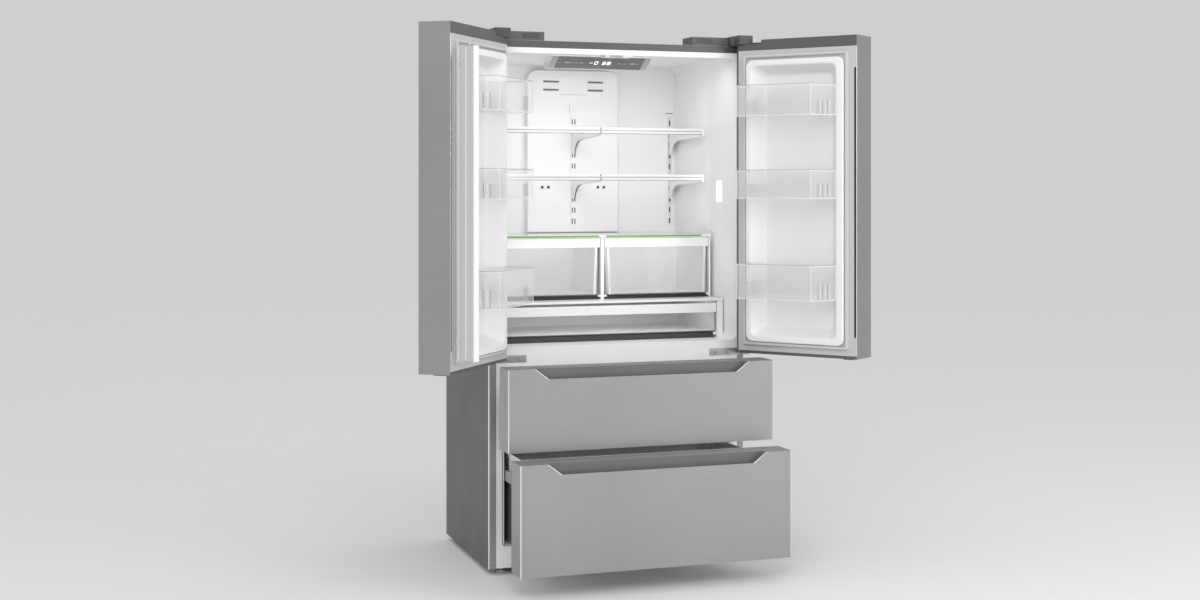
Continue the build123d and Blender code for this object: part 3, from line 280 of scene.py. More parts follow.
def wipe_group() -> bpy.types.NodeTree:
    """Wipe marks and light dust: broad soft patches for the roughness.

    Returns:
        The group.
    """
    tree, given, result = start_group("wipe_marks", {"Size": 6.0, "Depth": 0.5}, ("Mask",))
    marks = {"Vector": given.outputs["Vector"], "Scale": given.outputs["Size"], "Distortion": 0.6}
    patches = wire(tree, "ShaderNodeTexNoise", {**marks, "Detail": 4.0})
    deep = maths("MULTIPLY", tree, patches.outputs["Fac"], given.outputs["Depth"])
    tree.links.new(deep, result.inputs["Mask"])
    return tree


GROUPS = {Grain.BRUSHED: brushed_group(), Grain.PEBBLED: pebble_group(), Grain.CLOUDED: pebble_group()}
WIPE = wipe_group()


@dataclass(frozen=True)
class Finish:
    """A surface finish, and how it becomes a material.

    The colour is linear. `spread` is how much the pattern changes it, `wear` how much the
    wipe marks change the roughness, and `relief` the depth of the bump in metres.
    """

    name: str
    colour: Colour
    roughness: float = 0.4
    metallic: float = 0.0
    grain: Grain = Grain.PEBBLED
    spread: float = 0.04
    wear: float = 0.1
    relief: float = 0.00002
    coat: float = 0.0
    pitch: float = 500.0

    def material(self) -> bpy.types.Material:
        """The finish's material, made on its first use."""
        return bpy.data.materials.get(self.name) or self.make()

    def make(self) -> bpy.types.Material:
        """Build the material's nodes.

        Returns:
            The material.
        """
        made = bpy.data.materials.new(self.name)
        made.use_nodes = True
        tree = made.node_tree
        shader = tree.nodes["Principled BSDF"]
        shader.inputs["Metallic"].default_value = self.metallic
        shader.inputs["Coat Weight"].default_value = self.coat
        place = wire(tree, "ShaderNodeTexCoord").outputs["Object"]
        pattern = wire(tree, "ShaderNodeGroup", node_tree=GROUPS[self.grain])
        pattern.inputs[1].default_value = self.pitch
        wipe = wire(tree, "ShaderNodeGroup", node_tree=WIPE)
        tree.links.new(place, pattern.inputs["Vector"])
        tree.links.new(place, wipe.inputs["Vector"])
        tone = wire(tree, "ShaderNodeMix", {"Factor": pattern.outputs["Tone"]}, data_type="RGBA")
        for socket, sign in ((6, -1), (7, 1)):
            shade = [min(1.0, channel * (1 + sign * self.spread)) for channel in self.colour]
            tone.inputs[socket].default_value = (*shade, 1)
        tree.links.new(tone.outputs[2], shader.inputs["Base Color"])
        least, most = self.roughness * (1 - self.wear), self.roughness * (1 + self.wear)
        worn = {"Value": wipe.outputs["Mask"], "From Min": 0.1, "From Max": 0.4}
        rough = wire(tree, "ShaderNodeMapRange", {**worn, "To Min": least, "To Max": most})
        tree.links.new(rough.outputs[0], shader.inputs["Roughness"])
        height = {"Height": pattern.outputs["Height"], "Strength": 0.5, "Distance": self.relief}
        bump = wire(tree, "ShaderNodeBump", height)
        tree.links.new(bump.outputs[0], shader.inputs["Normal"])
        self.extend(tree, shader)
        return made

    def extend(self, tree: bpy.types.NodeTree, shader: bpy.types.Node) -> None:
        """Add what a special finish needs.

        Args:
            tree: The material's tree.
            shader: Its Principled shader.
        """


@dataclass(frozen=True)
class Clear(Finish):
    """A clear moulding or glass, which lets the lamps' light through."""

    index: float = 1.45
    clarity: float = 1.0

    def extend(self, tree: bpy.types.NodeTree, shader: bpy.types.Node) -> None:
        """Turn the shader to glass, and let shadow and diffuse rays pass straight.

        Args:
            tree: The material's tree.
            shader: Its Principled shader.
        """
        shader.inputs["Transmission Weight"].default_value = self.clarity
        shader.inputs["IOR"].default_value = self.index
        path = wire(tree, "ShaderNodeLightPath")
        soft = maths("MAXIMUM", tree, path.outputs["Is Shadow Ray"], path.outputs["Is Diffuse Ray"])
        tint = [self.clarity * (0.5 + 0.5 * channel) for channel in self.colour]
        see = wire(tree, "ShaderNodeBsdfTransparent", {"Color": (*tint, 1)})
        mix = wire(tree, "ShaderNodeMixShader", {0: soft, 1: shader.outputs[0], 2: see.outputs[0]})
        tree.links.new(mix.outputs[0], tree.nodes["Material Output"].inputs["Surface"])


@dataclass(frozen=True)
class Lit(Finish):
    """A finish that gives light."""

    glow: float = 1.0

    def extend(self, tree: bpy.types.NodeTree, shader: bpy.types.Node) -> None:
        """Give the shader its glow.

        Args:
            tree: The material's tree.
            shader: Its Principled shader.
        """
        shader.inputs["Emission Color"].default_value = (*self.colour, 1)
        shader.inputs["Emission Strength"].default_value = self.glow


def grey(value: float) -> Colour:
    """A linear grey of a value."""
    return (value, value, value)


STEEL = Finish("satin_steel", grey(0.395), 0.36, 1.0, Grain.BRUSHED, 0.09, 0.12, 0.000015, 0.0, 900.0)
# Painted highlight: a far lighter copy of the satin steel on folds, hems and lips, where light catches the edges.
FOLD_HIGHLIGHT = Finish("fold_painted_highlight", grey(0.95), 0.28, 1.0, Grain.BRUSHED, 0.05, 0.1, 0.00001, 0.0, 900.0)
# The case's side and top: dark grey paint, made darker still as painted shade.
SIDE_PAINT_AND_SHADE = Finish("side_paint_and_shade", grey(0.098), 0.42, 0.3, Grain.CLOUDED, 0.04, 0.1, 0.00001, 0.0, 700.0)
FLANGE_PAINT = Finish("flange_paint", grey(0.34), 0.4, 0.4, Grain.CLOUDED, 0.03, 0.1, 0.00001, 0.0, 700.0)
# The top rim: the flange's paint made darker as painted shade.
TOP_RIM_SHADED = Finish("top_rim_painted_shade", grey(0.10), 0.4, 0.4, Grain.CLOUDED, 0.03, 0.1, 0.00001, 0.0, 700.0)
BACK_ZINC = Finish("back_zinc", grey(0.45), 0.45, 0.8, Grain.CLOUDED, 0.12, 0.2, 0.00002, 0.0, 60.0)
ZINC = Finish("plated_zinc", grey(0.55), 0.3, 1.0, Grain.CLOUDED, 0.08, 0.15, 0.00001, 0.0, 300.0)
WHITE_STEEL = Finish("white_enamel", grey(0.88), 0.35, 0.0, Grain.CLOUDED, 0.01, 0.04, 0.000005, 0.05, 600.0)
BLACK_STEEL = Finish("black_enamel", grey(0.02), 0.35, 0.0, Grain.CLOUDED, 0.1, 0.2, 0.00003, 0.3, 200.0)
ALUMINIUM = Finish("mill_aluminium", grey(0.62), 0.35, 1.0, Grain.BRUSHED, 0.08, 0.15, 0.00001, 0.0, 400.0)
FOAM = Finish("rigid_foam", (0.72, 0.62, 0.38), 0.9, 0.0, Grain.PEBBLED, 0.15, 0.05, 0.0003, 0.0, 250.0)
LINER = Finish("white_liner", grey(0.90), 0.42, 0.0, Grain.CLOUDED, 0.008, 0.03, 0.000004, 0.0, 400.0)
TRIM = Finish("white_trim", grey(0.86), 0.3, 0.0, Grain.CLOUDED, 0.006, 0.03, 0.000004, 0.05, 400.0)
# Painted shade: dark lines under the shelf trims' lips and round the freezer's mouth.
SHADE_LINE = Finish("painted_shade_line", grey(0.30), 0.4, 0.0, Grain.CLOUDED, 0.02, 0.05, 0.000004, 0.0, 400.0)
RIM = Finish("grey_rim", grey(0.56), 0.42, 0.0, Grain.PEBBLED, 0.03, 0.1, 0.00002, 0.0, 900.0)
FLAP_GREY = Finish("flap_grey", grey(0.55), 0.4, 0.0, Grain.PEBBLED, 0.03, 0.1, 0.00002, 0.0, 900.0)
CAP = Finish("dark_cap", grey(0.105), 0.45, 0.0, Grain.PEBBLED, 0.06, 0.1, 0.00004, 0.0, 900.0)
HOOD_DARK = Finish("hood_inset", grey(0.06), 0.42, 0.0, Grain.PEBBLED, 0.05, 0.1, 0.00004, 0.0, 900.0)
HOOD_END = Finish("hood_end", grey(0.105), 0.42, 0.0, Grain.PEBBLED, 0.05, 0.1, 0.00004, 0.0, 900.0)
CAP_PALE = Finish("pale_cover", grey(0.20), 0.42, 0.0, Grain.PEBBLED, 0.05, 0.1, 0.00004, 0.0, 900.0)
SCOOP = Finish("scoop_grey", grey(0.16), 0.4, 0.4, Grain.PEBBLED, 0.05, 0.1, 0.00003, 0.0, 900.0)
BLACK = Finish("black_plastic", grey(0.018), 0.45, 0.0, Grain.PEBBLED, 0.15, 0.15, 0.00004, 0.0, 900.0)
NYLON = Finish("nylon", grey(0.62), 0.4, 0.0, Grain.PEBBLED, 0.04, 0.1, 0.00003, 0.0, 900.0)
GASKET = Finish("gasket", grey(0.60), 0.6, 0.0, Grain.PEBBLED, 0.04, 0.1, 0.00004, 0.0, 1200.0)
GREEN = Finish("green_strip", (0.16, 0.40, 0.045), 0.3, 0.0, Grain.CLOUDED, 0.05, 0.1, 0.00001, 0.3, 400.0)
SILVER = Finish("silver_end", grey(0.55), 0.35, 0.5, Grain.CLOUDED, 0.05, 0.1, 0.00001, 0.0, 400.0)
FACE = Finish("display_face", grey(0.17), 0.25, 0.0, Grain.CLOUDED, 0.05, 0.1, 0.000005, 0.4, 400.0)
LEGEND = Finish("faint_legend", grey(0.42), 0.4, 0.0, Grain.CLOUDED, 0.02, 0.1, 0.000005, 0.0, 400.0)
DIGIT = Lit("lit_digit", grey(0.95), 0.4, glow=1.4)
LAMP = Lit("lamp_lens", grey(0.95), 0.25, glow=0.55)
BIN = Clear("clear_bin", grey(0.985), 0.02, 0.0, Grain.CLOUDED, 0.002, 0.02, 0.000001, index=1.03, clarity=0.9)
# Painted highlight and painted shade for the lines that clear plastic shows at its beads, seams and ribs.
BIN_HIGHLIGHT = Finish("painted_edge_highlight", grey(0.90), 0.2, 0.0, Grain.CLOUDED, 0.01, 0.1, 0.00001, 0.4, 400.0)
BIN_LINE = Finish("shaded_edge", grey(0.42), 0.3, 0.0, Grain.CLOUDED, 0.02, 0.05, 0.00001, 0.1, 400.0)
TUB = Clear("clear_tub", grey(0.95), 0.03, 0.0, Grain.CLOUDED, 0.002, 0.02, 0.000001, index=1.15, clarity=0.94)
TUB_WALL = Finish("milky_tub", grey(0.80), 0.35, 0.0, Grain.CLOUDED, 0.008, 0.04, 0.000004, 0.05, 400.0)
SHEET_GLASS = Clear("sheet_glass", (0.965, 0.978, 0.972), 0.02, 0.0, Grain.CLOUDED, 0.003, 0.1, 0.000002)

SLOT_FINISH = {
    "stainless": STEEL,
    "case_steel": FLANGE_PAINT,
    "back_steel": BACK_ZINC,
    "zinc_steel": ZINC,
    "white_steel": WHITE_STEEL,
    "black_steel": BLACK_STEEL,
    "aluminium": ALUMINIUM,
    "foam": FOAM,
    "white_plastic": LINER,
    "grey_plastic": RIM,
    "dark_plastic": CAP,
    "black_plastic": BLACK,
    "roller_plastic": NYLON,
    "clear_plastic": TUB,
    "clear_glass": SHEET_GLASS,
    "lamp_plastic": LAMP,
    "gasket_rubber": GASKET,
}


# ---- Drafting ----


def ordered(side: int, inner: float, outer: float) -> Pair:
    """The low and high X of what lies between two distances from the middle, on one side.

    Args:
        side: -1 for the left, 1 for the right.
        inner: One distance.
        outer: The other one.

    Returns:
        Low and high X.
    """
    return tuple(sorted((side * inner, side * outer)))


def rounded(x: Pair, y: Pair, radius: float, steps: int = 6) -> list[Pair]:
    """Corners of a rounded rectangle, anticlockwise.

    Args:
        x: Low and high X.
        y: Low and high Y.
        radius: Corner radius.
        steps: Straight pieces in a corner.

    Returns:
        The outline's points.
    """
    corners = ((x[1], y[0], -90), (x[1], y[1], 0), (x[0], y[1], 90), (x[0], y[0], 180))
    points = []
    for cx, cy, start in corners:
        mx = cx - math.copysign(radius, cx - sum(x) / 2)
        my = cy - math.copysign(radius, cy - sum(y) / 2)
        for step in range(steps + 1):
            turn = math.radians(start + 90 * step / steps)
            points.append((mx + radius * math.cos(turn), my + radius * math.sin(turn)))
    return points


def fold_points(corner: Pair, heading: Pair, radius: float, inset: float) -> list[Pair]:
    """Points round a sheet's vertical fold, from the side wall to the face.

    Args:
        corner: The sharp outer corner in plan.
        heading: Signs of X and Y that lead from the corner into the sheet.
        radius: Outer radius of the fold.
        inset: How far inside the outer face the points lie.

    Returns:
        The points in plan.
    """
    middle = (corner[0] + heading[0] * radius, corner[1] + heading[1] * radius)
    reach = radius - inset
    turns = [math.radians(15 * step) for step in range(7)]
    return [
        (middle[0] - heading[0] * reach * math.cos(turn), middle[1] - heading[1] * reach * math.sin(turn))
        for turn in turns
    ]


class Draft:
    """A mesh in the making, drawn in millimetres as the shut refrigerator holds it."""

    def __init__(self, spot: Spot) -> None:
        """Start an empty mesh.

        Args:
            spot: Where the body stands that the mesh will ride on.
        """
        self.spot = spot
        self.bm = bmesh.new()
        self.mirrored = spot.matrix.determinant() < 0

    @classmethod
    def of_nodes(cls, spot: Spot, *nodes: str) -> "Draft":
        """A draft that starts from merged copies of CAD nodes.

        Args:
            spot: Where the nodes' body stands.
            nodes: The CAD nodes.

        Returns:
            The draft.
        """
        draft = cls(spot)
        for node in nodes:
            draft.bm.from_mesh(frame["nodes"][node].data)
        back = spot.matrix.inverted()
        bmesh.ops.transform(draft.bm, matrix=back, verts=draft.bm.verts)
        if draft.mirrored:
            bmesh.ops.reverse_faces(draft.bm, faces=draft.bm.faces)
        bmesh.ops.remove_doubles(draft.bm, verts=draft.bm.verts, dist=0.02)
        for face in draft.bm.faces:
            face.material_index = 0
        bmesh.ops.dissolve_limit(
            draft.bm, angle_limit=math.radians(1.0), verts=draft.bm.verts, edges=draft.bm.edges
        )
        return draft

    def loft(self, loops: Sequence[Sequence[Vector]], finish: int = 0) -> None:
        """Join loops of as many points each by quads, and fill the first and the last.

        Args:
            loops: The loops, each a closed line of points.
            finish: Index of the finish.
        """
        rings = [[self.bm.verts.new(point) for point in loop] for loop in loops]
        made = []
        for low, high in zip(rings, rings[1:]):
            for i in range(len(low)):
                j = (i + 1) % len(low)
                made.append(self.bm.faces.new((low[i], low[j], high[j], high[i])))
        made.append(self.bm.faces.new(list(reversed(rings[0]))))
        made.append(self.bm.faces.new(rings[-1]))
        for face in made:
            face.material_index = finish
        bmesh.ops.recalc_face_normals(self.bm, faces=made)

    def prism(self, outline: Sequence[Pair], low: float, high: float, axis: str = "z", finish: int = 0) -> None:
        """Extrude an outline along an axis.

        Args:
            outline: Points in (x, y) for axis z, (x, z) for y, or (y, z) for x.
            low: Where the prism starts on its axis.
            high: Where it ends.
            axis: The axis that it runs along.
            finish: Index of the finish.
        """
        order = {"z": (0, 1, 2), "y": (0, 2, 1), "x": (2, 0, 1)}[axis]
        self.loft(
            [[Vector([(*pair, level)[k] for k in order]) for pair in outline] for level in (low, high)], finish
        )

    def block(self, x: Pair, y: Pair, z: Pair, finish: int = 0) -> None:
        """Add a box.

        Args:
            x: Low and high X.
            y: Low and high Y.
            z: Low and high Z.
            finish: Index of the finish.
        """
        outline = [(x[0], y[0]), (x[1], y[0]), (x[1], y[1]), (x[0], y[1])]
        self.prism(outline, z[0], z[1], "z", finish)

    def bent(self, x: Pair, y: Pair, z: Pair, radius: float, thick: float = 1.0) -> None:
        """Add a bent sheet: a side wall on x[0] from y[1] to a face on y[0], which ends at x[1].

        Args:
            x: X of the side wall's outer face, and of the face's end.
            y: Y of the face's outer side, and of the wall's end.
            z: Low and high Z.
            radius: Outer radius of the fold, which gets finish 1.
            thick: Thickness of the sheet.
        """
        heading = (math.copysign(1, x[1] - x[0]), math.copysign(1, y[1] - y[0]))
        outline = [(x[0], y[1]), *fold_points((x[0], y[0]), heading, radius, 0.0), (x[1], y[0])]
        inner = fold_points((x[0], y[0]), heading, radius, thick)
        outline += [(x[1], y[0] + heading[1] * thick), *reversed(inner), (x[0] + heading[0] * thick, y[1])]
        first = len(self.bm.faces)
        self.prism(outline, z[0], z[1], "z")
        self.bm.faces.ensure_lookup_table()
        for face in self.bm.faces[first:]:
            middle = face.calc_center_median()
            near = abs(middle.x - x[0]) < radius and abs(middle.y - y[0]) < radius
            if near and abs(face.normal.z) < 0.5:
                face.material_index = 1

    def bar(self, x: Pair, y: Pair, z: Pair, radius: float, axis: str, finish: int = 0) -> None:
        """Add a box whose edges along an axis are rounded.

        Args:
            x: Low and high X.
            y: Low and high Y.
            z: Low and high Z.
            radius: Radius of the edges.
            axis: The axis that they run along.
            finish: Index of the finish.
        """
        flat = {"z": (x, y, z), "y": (x, z, y), "x": (y, z, x)}[axis]
        self.prism(rounded(flat[0], flat[1], radius, 4), flat[2][0], flat[2][1], axis, finish)

    def adopt(self, mesh: bpy.types.Mesh, matrix: Matrix) -> None:
        """Take in a finished mesh, and remove it.

        Args:
            mesh: The mesh.
            matrix: What moves it into place.
        """
        mesh.transform(matrix)
        self.bm.from_mesh(mesh)
        bpy.data.meshes.remove(mesh)

    def paint(self, finish: int, where: Where) -> None:
        """Give a finish to some of the faces.

        Args:
            finish: Index of the finish.
            where: Test for a face's middle.
        """
        for face in self.bm.faces:
            if where(face.calc_center_median()):
                face.material_index = finish

    def soften(self, width: float, where: Where | None = None, segments: int = 3) -> None:
        """Round the sharp edges.

        Args:
            width: How far each face is cut back.
            where: Test for an edge's middle; all sharp edges if None.
            segments: Pieces in the round.
        """
        edges = [
            edge
            for edge in self.bm.edges
            if len(edge.link_faces) == 2
            and edge.calc_face_angle(0) > math.radians(30)
            and (where is None or where((edge.verts[0].co + edge.verts[1].co) / 2))
        ]
        shape = {"profile": 0.5, "affect": "EDGES", "clamp_overlap": True, "material": -1}
        bmesh.ops.bevel(self.bm, geom=edges, offset=width, segments=segments, **shape)

    def piece(self, name: str, finishes: Sequence[Finish], slot: str, *replaced: str) -> bpy.types.Object:
        """Turn the draft into a piece that rides on its body.

        Args:
            name: The piece's name.
            finishes: Its finishes, in the order of their indices.
            slot: The record's material slot; not used.
            replaced: The CAD nodes that it stands for.

        Returns:
            The piece's object.
        """
        mesh = bpy.data.meshes.new(name)
        self.bm.to_mesh(mesh)
        self.bm.free()
        mesh.transform(self.spot.matrix)
        if self.mirrored:
            mesh.flip_normals()
        for finish in finishes:
            mesh.materials.append(finish.material())
        mesh.polygons.foreach_set("use_smooth", [True] * len(mesh.polygons))
        mesh.set_sharp_from_angle(angle=math.radians(35))
        made = bpy.data.objects.new(name, mesh)
        bpy.context.scene.collection.objects.link(made)
        weighted = made.modifiers.new("even_shading", "WEIGHTED_NORMAL")
        weighted.keep_sharp = True
        made.data = bpy.data.meshes.new_from_object(made.evaluated_get(bpy.context.evaluated_depsgraph_get()))
        made.data.name = name
        made.modifiers.clear()
        bpy.data.meshes.remove(mesh)
        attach(made, self.spot.body)
        if replaced:
            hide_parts(*replaced)
        log.info("%s on %s, %d faces", name, self.spot.body, len(made.data.polygons))
        return made


# ---- Geometry Nodes ----


def start_tree(name: str, inputs: dict[str, str]) -> tuple:
    """Start a geometry tree with named inputs and a Material input.

    Args:
        name: The tree's name.
        inputs: Input names with their socket kinds, such as Int, Float or Vector.

    Returns:
        The tree and its input node.
    """
    tree = bpy.data.node_groups.new(name, "GeometryNodeTree")
    for label, kind in {**inputs, "Material": "Material"}.items():
        tree.interface.new_socket(name=label, in_out="INPUT", socket_type=f"NodeSocket{kind}")
    tree.interface.new_socket(name="Geometry", in_out="OUTPUT", socket_type="NodeSocketGeometry")
    return tree, tree.nodes.new("NodeGroupInput")


def end_tree(tree: bpy.types.NodeTree, given: bpy.types.Node, shape: bpy.types.NodeSocket) -> None:
    """End a geometry tree in Realize Instances and Set Material.

    Args:
        tree: The tree.
        given: Its input node.
        shape: The geometry that it makes.
    """
    real = wire(tree, "GeometryNodeRealizeInstances", {"Geometry": shape})
    dress = {"Geometry": real.outputs[0], "Material": given.outputs["Material"]}
    dressed = wire(tree, "GeometryNodeSetMaterial", dress)
    wire(tree, "NodeGroupOutput", {"Geometry": dressed.outputs[0]})


def spread_out(tree: bpy.types.NodeTree, given: bpy.types.Node, shape: Operand) -> bpy.types.NodeSocket:
    """Repeat a shape along a row, and the row along a column.

    Args:
        tree: The tree, which has the inputs of GRID.
        given: Its input node.
        shape: The geometry that is repeated.

    Returns:
        The output with the repeated geometry.
    """
    count, rows, start, step, row_step = (given.outputs[label] for label in GRID)
    row = wire(tree, "GeometryNodeMeshLine", {"Count": count, "Start Location": start, "Offset": step})
    column = wire(tree, "GeometryNodeMeshLine", {"Count": rows, "Offset": row_step})
    for points in (row, column):
        placed = {"Points": points.outputs[0], "Instance": shape}
        shape = wire(tree, "GeometryNodeInstanceOnPoints", placed).outputs[0]
    return shape


GRID = {"Count": "Int", "Rows": "Int", "Start": "Vector", "Step": "Vector", "Row Step": "Vector"}


def bars_tree() -> bpy.types.NodeTree:
    """A grid of bars of one size.

    Returns:
        The tree.
    """
    tree, given = start_tree("bar_grid", {**GRID, "Size": "Vector"})
    cube = wire(tree, "GeometryNodeMeshCube", {"Size": given.outputs["Size"]})
    end_tree(tree, given, spread_out(tree, given, cube.outputs[0]))
    return tree


def studs_tree() -> bpy.types.NodeTree:
    """A grid of round heads that stand along +Z, each a button with a sloped edge and a six-sided boss.

    Returns:
        The tree.
    """
    tree, given = start_tree("stud_grid", {**GRID, "Radius": "Float", "Height": "Float"})
    radius, height = given.outputs["Radius"], given.outputs["Height"]
    rounds = []
    for corners, top, foot in ((20, 0.72, 1.0), (6, 0.3, 0.3)):
        upper = maths("MULTIPLY", tree, radius, top)
        lower = maths("MULTIPLY", tree, radius, foot)
        cone = {"Vertices": corners, "Radius Top": upper, "Radius Bottom": lower, "Depth": height}
        rounds.append(wire(tree, "GeometryNodeMeshCone", cone))
    raised = wire(tree, "ShaderNodeCombineXYZ", {"Z": maths("MULTIPLY", tree, height, 0.3)})
    lifted = {"Geometry": rounds[1].outputs[0], "Translation": raised.outputs[0]}
    moved = wire(tree, "GeometryNodeTransform", lifted)
    both = wire(tree, "GeometryNodeJoinGeometry")
    for shape in (rounds[0], moved):
        tree.links.new(shape.outputs[0], both.inputs[0])
    end_tree(tree, given, spread_out(tree, given, both.outputs[0]))
    return tree


def sweep_tree() -> bpy.types.NodeTree:
    """A rounded bead swept round a rounded rectangle in the XY plane.

    Returns:
        The tree.
    """
    labels = ("Width", "Height", "Corner", "Bead Wide", "Bead High")
    tree, given = start_tree("swept_ring", dict.fromkeys(labels, "Float"))
    width, height, corner, bead_wide, bead_high = (given.outputs[label] for label in labels)
    soft = maths("MULTIPLY", tree, maths("MINIMUM", tree, bead_wide, bead_high), 0.3)
    curves = []
    for wide, high, radius, count in ((width, height, corner, 8), (bead_wide, bead_high, soft, 3)):
        path = wire(tree, "GeometryNodeCurvePrimitiveQuadrilateral", {"Width": wide, "Height": high})
        ease = {"Curve": path.outputs[0], "Radius": radius, "Count": count}
        curves.append(wire(tree, "GeometryNodeFilletCurve", ease, mode="POLY").outputs[0])
    swept = wire(tree, "GeometryNodeCurveToMesh", {"Curve": curves[0], "Profile Curve": curves[1]})
    end_tree(tree, given, swept.outputs[0])
    return tree


BARS, STUDS, SWEEP = bars_tree(), studs_tree(), sweep_tree()


def grown(tree: bpy.types.NodeTree, finish: Finish, **values: object) -> bpy.types.Mesh:
    """Run a geometry tree and return its result as a plain mesh.

    Args:
        tree: The geometry tree.
        finish: What its Material input gets.
        values: The other inputs, with underscores for the spaces in their names.

    Returns:
        The mesh.
    """
    host = bpy.data.objects.new("host", bpy.data.meshes.new("host"))
    bpy.context.scene.collection.objects.link(host)
    grower = host.modifiers.new("grow", "NODES")
    grower.node_group = tree
    given = {key.replace("_", " "): value for key, value in values.items()}
    given["Material"] = finish.material()
    for socket in tree.interface.items_tree:
        if socket.in_out == "INPUT" and socket.name in given:
            grower[socket.identifier] = given[socket.name]
    graph = bpy.context.evaluated_depsgraph_get()
    result = bpy.data.meshes.new_from_object(host.evaluated_get(graph))
    bpy.data.objects.remove(host)
    return result


def bars(
    finish: Finish,
    size: Sequence[float],
    start: Sequence[float],
    count: int = 1,
    step: Sequence[float] = (0.0, 0.0, 0.0),
    rows: int = 1,
    row_step: Sequence[float] = (0.0, 0.0, 0.0),
) -> bpy.types.Mesh:
    """A grid of bars, drawn in place.

    Args:
        finish: The bars' finish.
        size: Their size.
        start: Middle of the first bar.
        count: How many stand in a row.
        step: From one bar to the next.
        rows: How many rows there are.
        row_step: From one row to the next.

    Returns:
        The mesh.
    """
    size, start, step, row_step = (tuple(map(float, values)) for values in (size, start, step, row_step))
    return grown(BARS, finish, Size=size, Start=start, Count=count, Step=step, Rows=rows, Row_Step=row_step)


def studs(
    finish: Finish,
    radius: float,
    height: float,
    places: Iterable[Sequence[float]],
    toward: Sequence[float] = (0, -1, 0),
) -> list[bpy.types.Mesh]:
    """Screw heads that all stand along one direction.

    Args:
        finish: Their finish.
        radius: Radius of a head.
        height: Its height.
        places: Where the heads stand.
        toward: The direction.

    Returns:
        A mesh for each head.
    """
    turn = Vector((0, 0, 1)).rotation_difference(Vector(toward)).to_matrix().to_4x4()
    made = []
    for place in places:
        head = grown(STUDS, finish, Count=1, Rows=1, Radius=radius, Height=height)
        head.transform(Matrix.Translation(place) @ turn)
        made.append(head)
    return made


def adopt_all(draft: Draft, meshes: Iterable[bpy.types.Mesh]) -> Draft:
    """Take several finished meshes into a draft.

    Args:
        draft: The draft.
        meshes: The meshes, drawn in place.

    Returns:
        The same draft.
    """
    for mesh in meshes:
        draft.adopt(mesh, Matrix.Identity(4))
    return draft


def softened(spot: Spot, node: str, width: float, name: str, finish: Finish, slot: str) -> None:
    """Turn a CAD node into a piece of one finish whose sharp edges are rounded.

    Args:
        spot: Where the node's body stands.
        node: The CAD node.
        width: How far each face is cut back.
        name: The piece's name.
        finish: Its finish.
        slot: The record's material slot.
    """
    draft = Draft.of_nodes(spot, node)
    draft.soften(width)
    draft.piece(name, (finish,), slot, node)


def ring_of(finish: Finish, spans: tuple[Pair, Pair], corner: float, bead: Pair, y: float) -> tuple:
    """A bead round an upright rounded rectangle.

    Args:
        finish: The bead's finish.
        spans: Low and high X and Z of the rectangle.
        corner: Radius of its corners.
        bead: Width and height of the bead.
        y: Where the rectangle stands.

    Returns:
        The mesh, and the matrix that moves it into place.
    """
    (left, right), (low, high) = spans
    size = {"Width": right - left, "Height": high - low, "Corner": corner}
    mesh = grown(SWEEP, finish, **size, Bead_Wide=bead[0], Bead_High=bead[1])
    upright = Matrix.Rotation(math.radians(90), 4, "X")
    return mesh, Matrix.Translation(((left + right) / 2, y, (low + high) / 2)) @ upright


# ---- Sub-assemblies ----


